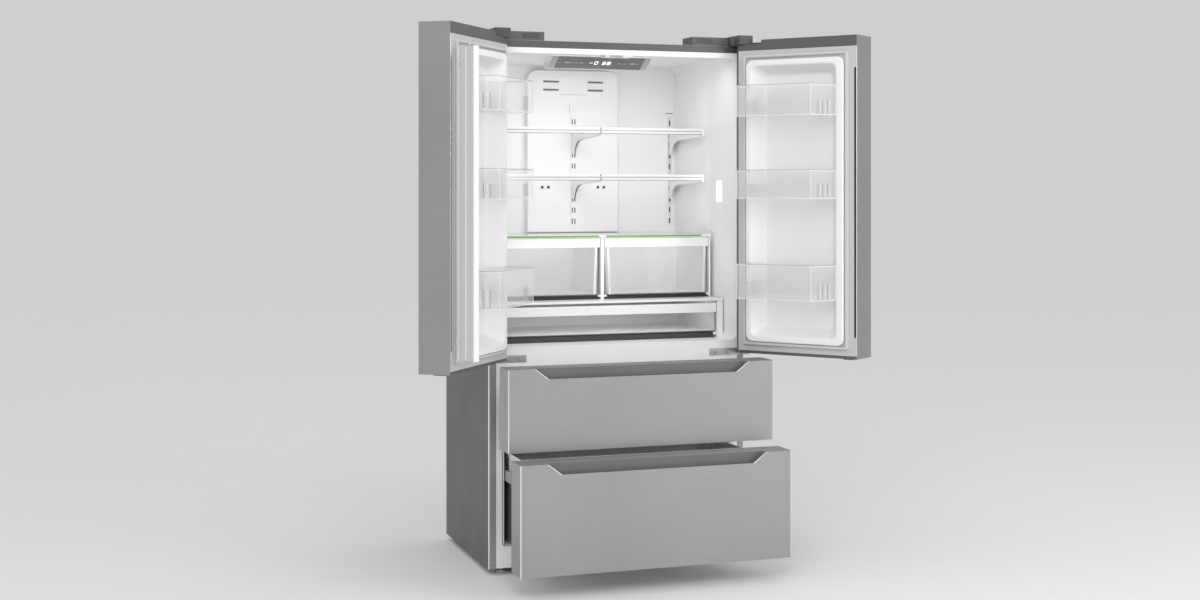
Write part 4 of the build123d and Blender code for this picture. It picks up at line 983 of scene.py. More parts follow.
@dataclass
class Case:
    """The outer steel case, its front members and its back."""

    depth: float = CASE_DEPTH
    half: float = CASE_HALF
    flange: float = 26.0
    fold: float = 3.4
    sheet: float = 1.0
    low: float = 20.0
    top: float = 1762.0
    bar_top: float = 760.0
    back_z: Pair = (280.4, 1760.8)
    back_inset: float = 1.2
    hem: float = 9.0
    hem_ends: tuple[Pair, ...] = ((280.4, 290.0), (1752.0, 1760.8))
    rib_x: Pair = (250.0, 270.0)
    rib_z: Pair = (360.0, 1690.0)
    front_screws: tuple[Pair, ...] = ((415.0, 449.0), (442.0, 42.0), (406.0, 425.0))
    spot: Spot = field(default_factory=lambda: still("cabinet"))

    def build(self) -> None:
        """Build every piece of the case."""
        self.shell()
        self.front()
        self.back()
        self.screws()

    def shell(self) -> None:
        """Side and top sheet, its dark paint partly painted shade, with a painted highlight on its front folds."""
        draft = Draft(self.spot)
        thick, low = self.sheet, self.low
        for side in SIDES:
            x = (side * self.half, side * (self.half - self.flange))
            draft.bent(x, (0.0, self.depth), (low, self.top), self.fold, thick)
        top = [(0.0, self.top - thick), (0.0, self.top - 0.3), (0.3, self.top)]
        top += [(self.depth, self.top), (self.depth, self.top - thick)]
        draft.prism(top, -self.half + thick, self.half - thick, "x")
        draft.paint(2, lambda p: p.y < thick * 0.9 and abs(p.x) < self.half - self.fold)
        draft.piece("case_shell", (SIDE_PAINT_AND_SHADE, FOLD_HIGHLIGHT, FLANGE_PAINT), "case_steel", "case_wrap")

    def front(self) -> None:
        """Steel top rim in a darker copy of the flange paint as painted shade, white bar under the doors and the
        channel between the drawers.
        """
        draft = Draft.of_nodes(self.spot, "front_frame")
        draft.paint(1, lambda p: p.z < self.bar_top)
        draft.soften(0.5)
        draft.piece("front_members", (TOP_RIM_SHADED, LINER), "case_steel", "front_frame")

    def back(self) -> None:
        """Back sheet with a proud hem and two pressed ribs, and its screws."""
        face, inner = self.depth - 0.8, self.half - self.back_inset
        proud = (face - 0.1, self.depth - 0.3)
        sheet = Draft(self.spot)
        sheet.block((-inner, inner), (self.depth - 1.0, face), self.back_z)
        for side in SIDES:
            sheet.bar(ordered(side, inner - self.hem, inner), proud, self.back_z, 0.15, "z")
            sheet.bar(ordered(side, *self.rib_x), (face - 0.1, self.depth - 0.1), self.rib_z, 0.3, "z")
        for ends in self.hem_ends:
            sheet.bar((-inner + self.hem, inner - self.hem), proud, ends, 0.15, "x")
        sheet.piece("back_sheet", (BACK_ZINC,), "back_steel", "back_panel")
        places = [(x, face, z) for x in (-430, -215, 0, 215, 430) for z in (300, 1742)]
        places += [(x, face, z) for x in (-430, 430) for z in (650, 1010, 1370)]
        heads = studs(ZINC, 5.0, 0.6, places, (0, 1, 0))
        adopt_all(Draft(self.spot), heads).piece("back_screws", (ZINC,), "back_steel")

    def screws(self) -> None:
        """Screws and hole plugs of the front."""
        places = [(side * x, -0.4, z) for side in SIDES for x, z in self.front_screws]
        heads = studs(ZINC, 4.0, 1.6, places)
        adopt_all(Draft(self.spot), heads).piece("front_screws", (ZINC,), "zinc_steel")


@dataclass
class Hinges:
    """Hinge covers over the doors, and the plates and brackets with their screws."""

    top: float = 1794.0
    base: float = 1762.0
    body_x: Pair = (262.0, 398.0)
    inset_x: Pair = (280.0, 338.0)
    nose_x: Pair = (399.0, 453.8)
    screw_x: Pair = (350.0, 395.0)
    screw_z: float = 709.0
    spot: Spot = field(default_factory=lambda: still("cabinet"))

    def build(self) -> None:
        """Build both covers and the bracket hardware."""
        self.covers()
        softened(self.spot, "hinge_brackets", 0.7, "hinge_plates", ZINC, "zinc_steel")
        places = [(side * x, -3.6, self.screw_z) for side in SIDES for x in self.screw_x]
        heads = studs(ZINC, 6.2, 2.4, places)
        adopt_all(Draft(self.spot), heads).piece("bracket_screws", (ZINC,), "zinc_steel")

    def covers(self) -> None:
        """Each cover: a wide low body with a dark inset, an end block and a dark nose at the pin."""
        draft = Draft(self.spot)
        foot = self.base + 0.2
        for side in SIDES:
            nose = ordered(side, *self.nose_x)
            draft.bar(ordered(side, *self.body_x), (3.0, 95.0), (foot, self.top - 3), 3.0, "z", 0)
            draft.bar(ordered(side, *self.inset_x), (1.8, 3.4), (self.base + 8, self.top - 9), 0.7, "z", 2)
            draft.bar(nose, (-34.0, 95.0), (foot, self.top), 5.0, "z", 1)
            draft.bar(nose, (-85.0, -35.0), (foot, self.top - 1), 8.0, "z", 2)
        draft.soften(1.6)
        draft.piece("hinge_hoods", (CAP, HOOD_END, HOOD_DARK), "dark_plastic", "hinge_covers")


@dataclass
class FoodSpace:
    """The fresh-food compartment: liner, duct panel, ladders, shelf trims, lamps and guide."""

    duct_face: float = 533.0
    back: float = 558.0
    vent_z: float = 1631.0
    mark_z: float = 1614.0
    slot_low: float = 1150.0
    slot_step: float = 40.5
    slots: int = 10
    ladder_x: float = 384.0
    shelf_tops: tuple[float, ...] = (1483.0, 1320.0)
    shelf_front: float = 205.0
    shelf_x: Pair = (3.6, 385.0)
    tip_x: Pair = (378.0, 385.4)
    spot: Spot = field(default_factory=lambda: still("cabinet"))

    def build(self) -> None:
        """Build every piece of the compartment."""
        self.liner()
        self.duct()
        self.ladders()
        self.shelves()
        softened(self.spot, "wall_lamps", 0.9, "lamp_lenses", LAMP, "lamp_plastic")
        softened(self.spot, "mullion_guide", 0.8, "flap_guide", TRIM, "white_plastic")

    def liner(self) -> None:
        """The white liner with a softened mouth."""
        draft = Draft.of_nodes(self.spot, "fridge_liner")
        draft.soften(1.2, lambda p: -0.5 < p.y < 2.5)
        draft.piece("food_liner", (LINER,), "white_plastic", "fridge_liner")

    def duct(self) -> None:
        """The duct panel, with dark plates of painted shade behind its vents and in its holes, and small dark
        marks.
        """
        draft = Draft.of_nodes(self.spot, "duct_panel")
        draft.soften(0.8, lambda p: p.y < self.duct_face + 0.5)
        draft.piece("air_duct", (LINER,), "white_plastic", "duct_panel")
        face = self.duct_face
        # Dark plates behind the vents are painted shade; the row below them holds small dark marks.
        dark = [
            bars(CAP_PALE, (59, 2, 6.2), (side * 85, face + 5, self.vent_z), rows=2, row_step=(0, 0, 30))
            for side in SIDES
        ]
        dark.append(bars(CAP_PALE, (3.4, 0.5, 1.8), (-48.0, face - 0.05, self.mark_z), 13, (8.0, 0, 0)))
        adopt_all(Draft(self.spot), dark).piece("vent_shades_and_marks", (CAP_PALE,), "dark_plastic")
        holes = [bars(BLACK, (59, 2, 6.4), (-85, face + 3, 1481))]
        holes += [bars(BLACK, (9.2, 2, 9.2), (x, face + 3, 1275), 2, (23, 0, 0)) for x in (-118, 95)]
        adopt_all(Draft(self.spot), holes).piece("vent_shades", (BLACK,), "black_plastic")

    def ladders(self) -> None:
        """Slotted ladders with painted shade in their slots, and a dark line over each side ladder."""
        softened(self.spot, "shelf_ladders", 0.5, "slot_ladders", WHITE_STEEL, "white_steel")
        # Dark bars in the slots are painted shade.
        up = (self.slots, (0, 0, self.slot_step))
        dark = [bars(CAP, (4.4, 0.6, 18.8), (x, self.duct_face - 2.6, self.slot_low), *up) for x in (-5, 5)]
        for side in SIDES:
            x = side * self.ladder_x
            dark.append(bars(BLACK, (5.6, 0.6, 19.4), (x, self.back - 2.95, self.slot_low), *up))
            dark.append(bars(BLACK, (26.0, 1.0, 2.6), (x, self.back - 2.4, 1551.5)))
        adopt_all(Draft(self.spot), dark).piece("ladder_shades", (BLACK, CAP), "black_plastic")

    def shelves(self) -> None:
        """White shelf trims: two lips with a painted shade line under each, and an end cap at the wall."""
        draft = Draft.of_nodes(self.spot, "shelf_frames")
        draft.soften(1.2, lambda p: p.y < self.shelf_front + 9 or abs(p.x) > 0)
        front, back = self.shelf_front, self.shelf_front + 1
        for top in self.shelf_tops:
            for side in SIDES:
                x, tip = ordered(side, *self.shelf_x), ordered(side, *self.tip_x)
                draft.bar(x, (front - 1.6, back), (top - 7, top - 1), 1.2, "x")
                draft.bar(x, (front - 1.0, back), (top - 19, top - 12), 0.9, "x")
                # Painted shade lines.
                for line in ((top - 12, top - 9.4), (top - 21.4, top - 19)):
                    draft.block(x, (front - 0.3, back), line, 1)
                draft.bar(tip, (front - 1.8, front + 27), (top - 27, top - 0.8), 7.0, "x")
        draft.piece("shelf_trims", (TRIM, SHADE_LINE), "white_plastic", "shelf_frames")


@dataclass
class Controls:
    """The control panel under the ceiling, with its lit digits and keys."""

    half: float = 180.0
    upper: Pair = (185.0, 1727.0)
    lower: Pair = (250.0, 1690.0)
    end_cap: float = 22.0
    texts: tuple[tuple[float, str], ...] = ((-38.0, "-0"), (8.0, "38"))
    digit_size: Pair = (12.5, 19.0)
    digit_gap: float = 6.0
    stroke: float = 2.7
    seam: float = 0.5
    mark_x: tuple[float, ...] = (-148.0, -103.0, -85.0, -66.0, 74.0, 92.0, 138.0)
    mark_half: float = 7.0
    spot: Spot = field(default_factory=lambda: still("cabinet"))

    def on_face(self, x: float, up: float, out: float) -> Vector:
        """A point at the slanted face.

        Args:
            x: Its X.
            up: How far up the slope it lies from the middle.
            out: How far out of the face it lies.

        Returns:
            The point.
        """
        run, rise = self.lower[0] - self.upper[0], self.lower[1] - self.upper[1]
        length = math.hypot(run, rise)
        middle = Vector((x, (self.upper[0] + self.lower[0]) / 2, (self.upper[1] + self.lower[1]) / 2))
        slope = Vector((0, -run, -rise)) / length
        normal = Vector((0, rise, -run)) / length
        return middle + slope * up + normal * out

    def plate(self, draft: Draft, x: Pair, up: Pair, out: Pair, finish: int = 0) -> None:
        """Add a small plate on the face.

        Args:
            draft: The draft that gets it.
            x: Low and high X.
            up: Where it starts and ends up the slope.
            out: How far out of the face its two sides lie.
            finish: Index of the finish.
        """
        corners = [(x[0], up[0]), (x[1], up[0]), (x[1], up[1]), (x[0], up[1])]
        draft.loft([[self.on_face(cx, cu, level) for cx, cu in corners] for level in out], finish)

    def build(self) -> None:
        """Build the housing, its face, the digits, the legends and the keys."""
        draft = Draft.of_nodes(self.spot, "control_panel")
        draft.paint(1, lambda p: True)
        draft.paint(0, lambda p: p.y > self.lower[0] + 1 or p.z > self.upper[1] + 1)
        draft.soften(1.2)
        for side in SIDES:
            x = ordered(side, self.half - self.end_cap, self.half - 0.2)
            self.plate(draft, x, (-36.5, 36.5), (-0.5, 0.9), 2)
        draft.piece("control_box", (TRIM, FACE, SILVER), "dark_plastic", "control_panel")
        self.readout()
        self.keys()

    def readout(self) -> None:
        """Seven-segment digits and faint dashes on the face."""
        (wide, high), stroke, seam = self.digit_size, self.stroke, self.seam
        left, right = (0, stroke), (wide - stroke, wide)
        upper, lower = (high / 2, high), (0, high / 2)
        places = {
            "a": ((0, wide), (high - stroke, high)),
            "b": (right, upper),
            "c": (right, lower),
            "d": ((0, wide), (0, stroke)),
            "e": (left, lower),
            "f": (left, upper),
            "g": ((0, wide), ((high - stroke) / 2, (high + stroke) / 2)),
        }
        lit = {"3": "abgcd", "8": "abcdefg", "0": "abcdef", "-": "g"}
        draft = Draft(self.spot)
        for group, text in self.texts:
            for k, digit in enumerate(text):
                start = group + k * (wide + self.digit_gap)
                for name in lit[digit]:
                    (x0, x1), (u0, u1) = places[name]
                    up = (u0 - high / 2 + seam, u1 - high / 2 - seam)
                    self.plate(draft, (start + x0 + seam, start + x1 - seam), up, (0.02, 0.5))
        draft.piece("lit_digits", (DIGIT,), "lamp_plastic")
        marks = Draft(self.spot)
        for x in self.mark_x:
            self.plate(marks, (x - self.mark_half, x + self.mark_half), (-3, 1), (0.02, 0.3))
        marks.piece("face_marks", (LEGEND,), "dark_plastic")

    def keys(self) -> None:
        """Two small keys with softened edges."""
        for side in Side:
            draft = Draft.of_nodes(still(f"key_{side.value}"), f"key_{side.value}")
            draft.soften(0.25, lambda p: True, 2)
            draft.piece(f"touch_key_{side.value}", (SILVER,), "dark_plastic", f"key_{side.value}")


@dataclass
class Crispers:
    """The cover's edge with green strips, the frame and two crispers."""

    front: float = 185.0
    edge_half: float = 404.0
    green_x: tuple[Pair, ...] = ((-401.0, -14.0), (12.0, 366.0))
    gap_shade_x: Pair = (17.0, 387.0)
    trim_low: float = 1066.0
    drawer_front: float = 192.0
    half_span: Pair = (17.5, 386.5)
    strip_low: float = 901.0
    strip_wide: float = 8.0
    lean: float = 7.5
    spot: Spot = field(default_factory=lambda: still("cabinet"))

    def build(self) -> None:
        """Build the cover's edge, the frame and both crispers."""
        self.edge()
        self.frame()
        for side in Side:
            self.crisper(side)

    def edge(self) -> None:
        """The cover's front edge: white, with two green strips set into it."""
        draft = Draft(self.spot)
        y = (self.front - 3.0, self.front - 0.2)
        draft.bar((-self.edge_half, self.edge_half), y, (1101.0, 1109.4), 0.8, "x", 0)
        for x in self.green_x:
            draft.bar(x, (self.front - 4.4, self.front - 2.8), (1101.6, 1107.8), 0.6, "x", 1)
        draft.piece("cover_edge", (TRIM, GREEN), "white_plastic")

    def frame(self) -> None:
        """The frame, and a black strip of painted shade in the gap under the crispers' fronts."""
        softened(self.spot, "crisper_frame", 1.0, "crisper_rack", TRIM, "white_plastic")
        # A black strip where the gap under the crispers is in shade: painted shade.
        gap_shade = Draft(self.spot)
        for side in SIDES:
            gap_shade.bar(ordered(side, *self.gap_shade_x), (196, 200), (886.2, 899.5), 1.0, "x")
        gap_shade.piece("crisper_gap_shade", (BLACK,), "black_plastic")

    def crisper(self, side: Side) -> None:
        """A crisper: clear front, milky tub, white trim and slanted white strips at its ends.

        Args:
            side: Which of the two.
        """
        name = f"crisper_{side.value}"
        draft = Draft.of_nodes(still(name), name)
        draft.paint(2, lambda p: p.y > self.drawer_front + 10)
        draft.paint(1, lambda p: p.z > self.trim_low - 0.5 and p.y < self.drawer_front + 14.5)
        draft.soften(1.0, lambda p: p.z > self.trim_low - 1, 2)
        low, high, wide, lean = self.strip_low, self.trim_low + 0.5, self.strip_wide, self.lean
        mirror = -1 if side is Side.LEFT else 1
        for mouth, into in zip(self.half_span, (1, -1)):
            strip = [(mouth, high), (mouth + into * wide, high)]
            strip += [(mouth + into * (wide + lean), low), (mouth + into * lean, low)]
            flipped = [(mirror * x, z) for x, z in strip]
            draft.prism(flipped, self.drawer_front - 0.5, self.drawer_front + 0.4, "y", 1)
        draft.piece(f"{name}_tub", (TUB, TRIM, TUB_WALL), "clear_plastic", name)


@dataclass
class Deli:
    """The wide deli drawer in its housing."""

    front: float = 108.0
    gap_shade_half: float = 383.0
    gap_shade_z: Pair = (749.0, 766.5)
    spot: Spot = field(default_factory=lambda: still("cabinet"))

    def build(self) -> None:
        """Build the housing, a black strip of painted shade in the gap under the drawer, and the drawer with its
        rail.
        """
        softened(self.spot, "deli_housing", 1.2, "deli_rack", TRIM, "white_plastic")
        # A black strip in the shaded gap between the floor and the drawer: painted shade.
        gap_shade = Draft(self.spot)
        gap_shade_x = (-self.gap_shade_half, self.gap_shade_half)
        gap_shade.bar(gap_shade_x, (self.front + 4, self.front + 8), self.gap_shade_z, 1.0, "x")
        gap_shade.piece("deli_gap_shade", (BLACK,), "black_plastic")
        drawer = Draft.of_nodes(still("deli_drawer"), "deli_drawer")
        drawer.soften(1.2, None, 2)
        drawer.paint(1, lambda p: p.y > self.front + 6)
        drawer.piece("deli_tub", (TUB, TUB_WALL), "clear_plastic", "deli_drawer")
        softened(still("deli_drawer"), "deli_trim", 1.2, "deli_rail", TRIM, "white_plastic")


@dataclass
class Door:
    """One upper door, drawn as the left one."""

    side: Side
    width: float = 448.5
    half: float = CASE_HALF
    rim: float = -12.0
    outer: float = -119.0
    dike_x: Pair = (35.0, 405.0)
    recess_floor: float = -52.0
    gasket_x: Pair = (21.0, 420.0)
    gasket_z: Pair = (739.0, 1726.0)
    gasket_inset: float = 6.2
    gasket_beads: tuple[tuple[float, float, float], ...] = ((12.0, 3.4, 1.7), (9.0, 7.6, 7.4))
    grip_x: Pair = (438.5, 446.0)
    grip_z: Pair = (781.0, 1669.0)
    bin_z: tuple[Pair, ...] = ((1512.0, 1616.0), (1238.0, 1333.0), (903.0, 1020.0))
    bin_reach: float = 115.0
    bin_foot: float = 16.0
    rib_count: int = 6
    z: Pair = (710.0, 1776.0)
    hem_z: Pair = (721.0, 1739.0)
    notch_z: float = 1761.5
    notch_wall: float = 12.0
    fold: float = 3.0

    def __post_init__(self) -> None:
        """Find the door's spot and the prefix of its names."""
        self.spot = door_spot(self.side)
        self.prefix = f"{self.side.value}_door"

    def at(self, along: float) -> float:
        """X at a distance from the hinge-side edge."""
        return along - self.half

    def build(self) -> None:
        """Build the door from its skin inwards."""
        self.skin()
        softened(self.spot, f"{self.prefix}_caps", 0.9, f"{self.prefix}_ends", CAP, "dark_plastic")
        self.liner()
        self.gasket()
        self.bins()

    def skin(self) -> None:
        """The steel skin, with painted highlights on its folds and on a hem at the rim."""
        draft = Draft(self.spot)
        (low, high), fold, middle = self.z, self.fold, self.at(self.width / 2)
        sides = (self.at(0.0), self.at(self.width))
        draft.bent((sides[0], middle), (self.outer, self.rim), (low, self.notch_z), fold)
        draft.bent((sides[0], middle), (self.outer, self.outer + self.notch_wall), (self.notch_z, high), fold)
        draft.bent((sides[1], middle), (self.outer, self.rim), (low, high), fold)
        # The hems at the rim carry the painted highlight.
        for x in ((self.at(0.0), self.at(1.6)), (self.at(self.width - 3.2), self.at(self.width))):
            draft.bar(x, (self.rim - 2.0, self.rim + 0.6), self.hem_z, 0.7, "z", 1)
        draft.piece(f"{self.prefix}_sheet", (STEEL, FOLD_HIGHLIGHT), "stainless", f"{self.prefix}_skin")

    def in_shaded_groove(self, point: Vector) -> bool:
        """Whether a point lies in the finger groove.

        Args:
            point: The point.

        Returns:
            True if it does.
        """
        level = self.grip_z[0] - 1 < point.z < self.grip_z[1] + 1
        return level and point.x > self.at(self.grip_x[0] - 0.5) and point.y < self.rim - 0.5

    def liner(self) -> None:
        """The inner liner: grey rim, white ridge and recess, and painted shade in the groove."""
        draft = Draft.of_nodes(self.spot, f"{self.prefix}_liner")
        ridge, end, depth = self.rim + 14.5, self.at(self.dike_x[1]) + 1, self.recess_floor
        draft.soften(5.0, lambda p: p.y > ridge and p.x < end, 4)
        draft.soften(6.0, lambda p: abs(p.y - depth) < 0.6, 4)
        for face in draft.bm.faces:
            if abs(face.calc_center_median().y - self.rim) < 0.4 and abs(face.normal.y) > 0.9:
                face.material_index = 1
        # The groove's faces get the dark cap finish as painted shade.
        draft.paint(2, self.in_shaded_groove)
        draft.piece(f"{self.prefix}_inner", (LINER, RIM, CAP), "grey_plastic", f"{self.prefix}_liner")

    def gasket(self) -> None:
        """A magnetic gasket: a wide foot and a round-edged magnet bead."""
        inset = self.gasket_inset
        x = (self.at(self.gasket_x[0]) + inset, self.at(self.gasket_x[1]) - inset)
        z = (self.gasket_z[0] + inset, self.gasket_z[1] - inset)
        draft = Draft(self.spot)
        for wide, high, proud in self.gasket_beads:
            draft.adopt(*ring_of(GASKET, (x, z), 4.0, (wide, high), self.rim + proud))
        bmesh.ops.recalc_face_normals(draft.bm, faces=draft.bm.faces)
        draft.piece(f"{self.prefix}_seal", (GASKET,), "gasket_rubber", f"{self.prefix}_gasket")

    def bins(self) -> None:
        """Clear bins, whose bead round the top, end seams and bottle ribs are painted highlights and painted shade
        lines.
        """
        draft = Draft.of_nodes(self.spot, f"{self.prefix}_bins")
        draft.soften(0.7, None, 2)
        draft.piece(f"{self.prefix}_clear_bins", (BIN,), "clear_plastic", f"{self.prefix}_bins")
        edge, ribs = Draft(self.spot), []
        for low, high in self.bin_z:
            self.beads(edge, low, high)
        for low, high in self.bin_z:
            self.end_ribs(edge, low, high)
            start = (self.at(100.0), self.rim + self.bin_reach - 3.4, low + (high - low) * 0.3)
            ribs.append(bars(BIN_HIGHLIGHT, (1.6, 1.4, (high - low) * 0.42), start, 5, (9.0, 0, 0)))
        adopt_all(edge, ribs)
        edge.piece(f"{self.prefix}_bin_beads", (BIN_HIGHLIGHT, BIN_LINE), "clear_plastic")

    def beads(self, draft: Draft, low: float, high: float) -> None:
        """Add a bin's beads along its top and foot, and the seams at its corners.

        Args:
            draft: The draft that gets them.
            low: Z of the bin's foot.
            high: Z of its top.
        """
        front, foot = self.rim + self.bin_reach, self.rim + self.bin_foot
        plan = ((53.0, foot), (52.5, front - 7), (59.3, front))
        plan += ((338.0, front), (345.0, front - 7), (377.0, foot))
        # The top bead is a painted shade line; the lower beads and the seams are painted highlights.
        for level, size, finish in ((high - 1.1, 1.0, 1), (high - 4.0, 0.9, 0), (low + 1.0, 1.0, 0)):
            self.rail(draft, plan, level, size, finish)
        for along, out in ((59.3, front - 0.3), (338.0, front - 0.3), (377.0, foot)):
            x = self.at(along)
            draft.bar((x - 0.9, x + 0.9), (out - 0.9, out + 0.9), (low + 1, high - 1), 0.5, "z")

    def end_ribs(self, draft: Draft, low: float, high: float) -> None:
        """Add the upright ribs on a bin's slanted end.

        Args:
            draft: The draft that gets them.
            low: Z of the bin's foot.
            high: Z of its top.
        """
        # The ribs alternate between painted highlight and painted shade.
        for k in range(self.rib_count):
            share = 0.25 + 0.11 * k
            x, y = self.at(377.4 - 32.0 * share), self.rim + self.bin_foot + 92.0 * share
            z = (low + 4, low + (high - low) * 0.5)
            draft.bar((x - 0.8, x + 0.8), (y - 1.2, y + 1.2), z, 0.5, "z", k % 2)

    def rail(self, draft: Draft, plan: Sequence[Pair], level: float, size: float, finish: int) -> None:
        """Add a thin bead along a bin's plan.

        Args:
            draft: The draft that gets it.
            plan: Points, each a distance from the hinge-side edge and a Y.
            level: Z of the bead's middle.
            size: Half of its thickness.
            finish: Index of the finish.
        """
        points = [Vector((self.at(along), out, level)) for along, out in plan]
        for start, end in zip(points, points[1:]):
            run = (end - start).normalized()
            out = Vector((run.y, -run.x, 0)) * size
            up = Vector((0, 0, size))
            loops = [[p + out + up, p - out + up, p - out - up, p + out - up] for p in (start, end)]
            draft.loft(loops, finish)


@dataclass
class Flap:
    """The folding mullion flap of the left door."""

    half: float = 37.0
    ply: float = 18.0
    z: Pair = (753.0, 1699.0)
    edge: float = 7.5
    strip_x: Pair = (29.6, 33.4)
    ridge_half: float = 1.6

    def build(self) -> None:
        """Build the flap: grey faces, white edges, a ridge on each face and raised white strips."""
        draft = Draft.of_nodes(flap_spot(), "mullion_flap")
        low, high = self.z
        draft.paint(1, lambda p: abs(p.x) > self.half - self.edge and p.z < high + 0.2)
        draft.soften(1.0, lambda p: p.y > self.ply - 0.5)
        for y in ((-0.7, 0.2), (self.ply - 0.2, self.ply + 0.7)):
            draft.bar((-self.ridge_half, self.ridge_half), y, (low + 4, high - 4), 0.4, "z", 1)
        faces = ((-0.12, 0.2), (self.ply - 0.2, self.ply + 0.12))
        # The strip on the hinge side's inner face would cut into the door's liner.
        for side, y in ((-1, faces[0]), (1, faces[0]), (1, faces[1])):
            draft.bar(ordered(side, *self.strip_x), y, (low + 2, high - 2), 0.1, "z", 1)
        draft.piece("mullion_cover", (FLAP_GREY, TRIM), "grey_plastic", "mullion_flap")


@dataclass
class FreezerDrawer:
    """A freezer drawer: folded steel front with its scoop, inner panel, tub and slides."""

    tier: Tier
    low: float
    high: float
    outer: float = -119.0
    rim: float = -12.0
    half: float = CASE_HALF
    fold: float = 3.0
    scoop: Pair = (365.0, 321.0)
    drop: float = 33.0
    depth: float = 28.0
    lip: float = 2.4
    rail_drop: float = 117.0
    flank: float = 372.0

    def __post_init__(self) -> None:
        """Find the drawer's spot and the prefix of its names."""
        self.spot = drawer_spot(self.tier)
        self.prefix = f"{self.tier.value}_drawer"

    def build(self) -> None:
        """Build the drawer from its front to its slides."""
        self.front()
        self.cap()
        self.panel()
        self.tub()
        slides = Draft.of_nodes(drawer_spot(self.tier, 0.5), f"{self.tier.value}_slides")
        slides.piece(f"{self.tier.value}_channels", (ZINC,), "zinc_steel", f"{self.tier.value}_slides")

    def front(self) -> None:
        """The steel front, with painted highlights on its folds and on a lip round the scoop."""
        draft = Draft(self.spot)
        floor = self.high - self.drop
        for side in SIDES:
            wall, mouth, end = side * self.half, side * self.scoop[0], side * self.scoop[1]
            draft.bent((wall, 0.0), (self.outer, self.rim), (self.low, floor), self.fold)
            draft.bent((wall, mouth), (self.outer, self.rim), (floor, self.high), self.fold)
            wedge = [(mouth, self.high), (mouth, floor), (end, floor)]
            draft.prism(wedge, self.outer, self.outer + 1.0, "y")
        (mouth, end), wide = self.scoop, self.lip
        outer = [(-mouth, self.high), (-end, floor), (end, floor), (mouth, self.high)]
        lip = [(-mouth - wide * 1.25, self.high), (-end - wide * 0.6, floor - wide)]
        lip += [(end + wide * 0.6, floor - wide), (mouth + wide * 1.25, self.high)]
        # The lip's slanted sides carry the painted highlight; its bottom stays steel.
        for k in range(3):
            quad = [outer[k], outer[k + 1], lip[k + 1], lip[k]]
            draft.prism(quad, self.outer - 0.35, self.outer + 0.6, "y", 1 if k != 1 else 0)
        # Strips at the rim's ends carry the painted highlight.
        for side in SIDES:
            x = ordered(side, self.half - 1.8, self.half)
            draft.bar(x, (self.rim - 2.0, self.rim + 0.5), (self.low + 1, self.high - 1), 0.7, "z", 1)
        draft.piece(f"{self.prefix}_sheet", (STEEL, FOLD_HIGHLIGHT), "stainless", f"{self.prefix}_front")

    def cap(self) -> None:
        """What fills the front: the dark top cap with the finger scoop."""
        draft = Draft.of_nodes(self.spot, f"{self.prefix}_core")
        draft.soften(0.8, lambda p: p.z > self.high - self.drop - 1)
        draft.paint(1, lambda p: p.y < self.outer + self.depth + 2 and p.z < self.high - 1)
        draft.piece(f"{self.prefix}_cap", (CAP_PALE, SCOOP), "dark_plastic", f"{self.prefix}_core")

    def panel(self) -> None:
        """The inner panel and its gasket."""
        draft = Draft.of_nodes(self.spot, f"{self.prefix}_panel")
        draft.paint(1, lambda p: p.y > self.rim + 0.5)
        draft.soften(0.4)
        draft.piece(f"{self.prefix}_back", (RIM, GASKET), "grey_plastic", f"{self.prefix}_panel")

    def tub(self) -> None:
        """The white tub with its rail bars, with painted shade on its outer flanks below them."""
        draft = Draft.of_nodes(self.spot, f"{self.prefix}_bin")
        # Outer flank faces below the rail get the dark cap finish as painted shade.
        for face in draft.bm.faces:
            middle, out = face.calc_center_median(), face.normal.x
            shaded_flank = abs(out) > 0.9 and abs(middle.x) > self.flank and middle.x * out > 0
            if shaded_flank and middle.z < self.high - self.rail_drop:
                face.material_index = 1
        draft.soften(0.8)
        draft.piece(f"{self.prefix}_tub", (LINER, CAP), "white_plastic", f"{self.prefix}_bin")


@dataclass
class FreezerSpace:
    """The freezer compartment's liner, fixed rails and a line of painted shade round its mouth."""

    mouth_half: float = 406.5
    mouth_z: Pair = (94.0, 428.0)
    rail_end: float = 45.0
    catch_x: Pair = (386.5, 398.5)
    spot: Spot = field(default_factory=lambda: still("cabinet"))

    def build(self) -> None:
        """Build the liner, the rails with black ends and catches, and the mouth's line of painted shade."""
        liner = Draft.of_nodes(self.spot, "freezer_liner")
        liner.soften(1.5, lambda p: -0.5 < p.y < 2.5)
        liner.piece("freezer_tub_liner", (LINER,), "white_plastic", "freezer_liner")
        rails = Draft.of_nodes(self.spot, "freezer_rails")
        rails.paint(1, lambda p: p.y < self.rail_end)
        for side in SIDES:
            for y, z in (((2.0, 30.0), (361.0, 383.0)), ((-0.2, 3.0), (349.0, 355.0))):
                rails.bar(ordered(side, *self.catch_x), y, z, 1.2, "y", 1)
        rails.piece("rail_channels", (ZINC, BLACK), "zinc_steel", "freezer_rails")
        line = Draft(self.spot)
        spans = ((-self.mouth_half, self.mouth_half), self.mouth_z)
        line.adopt(*ring_of(SHADE_LINE, spans, 9.0, (3.6, 0.6), 0.05))
        bmesh.ops.recalc_face_normals(line.bm, faces=line.bm.faces)
        line.piece("mouth_shade_line", (SHADE_LINE,), "white_plastic")


@dataclass
class Works:
    """Parts that keep their CAD shape and get their finish from the record's slots."""

    def build(self) -> None:
        """Dress every CAD node that is still shown."""
        slots = {row["node"]: row["material_slot"] for row in frame["record"]["subparts"]}
        for name, node in frame["nodes"].items():
            node.data.materials.clear()
            node.data.materials.append(SLOT_FINISH[slots[name]].material())


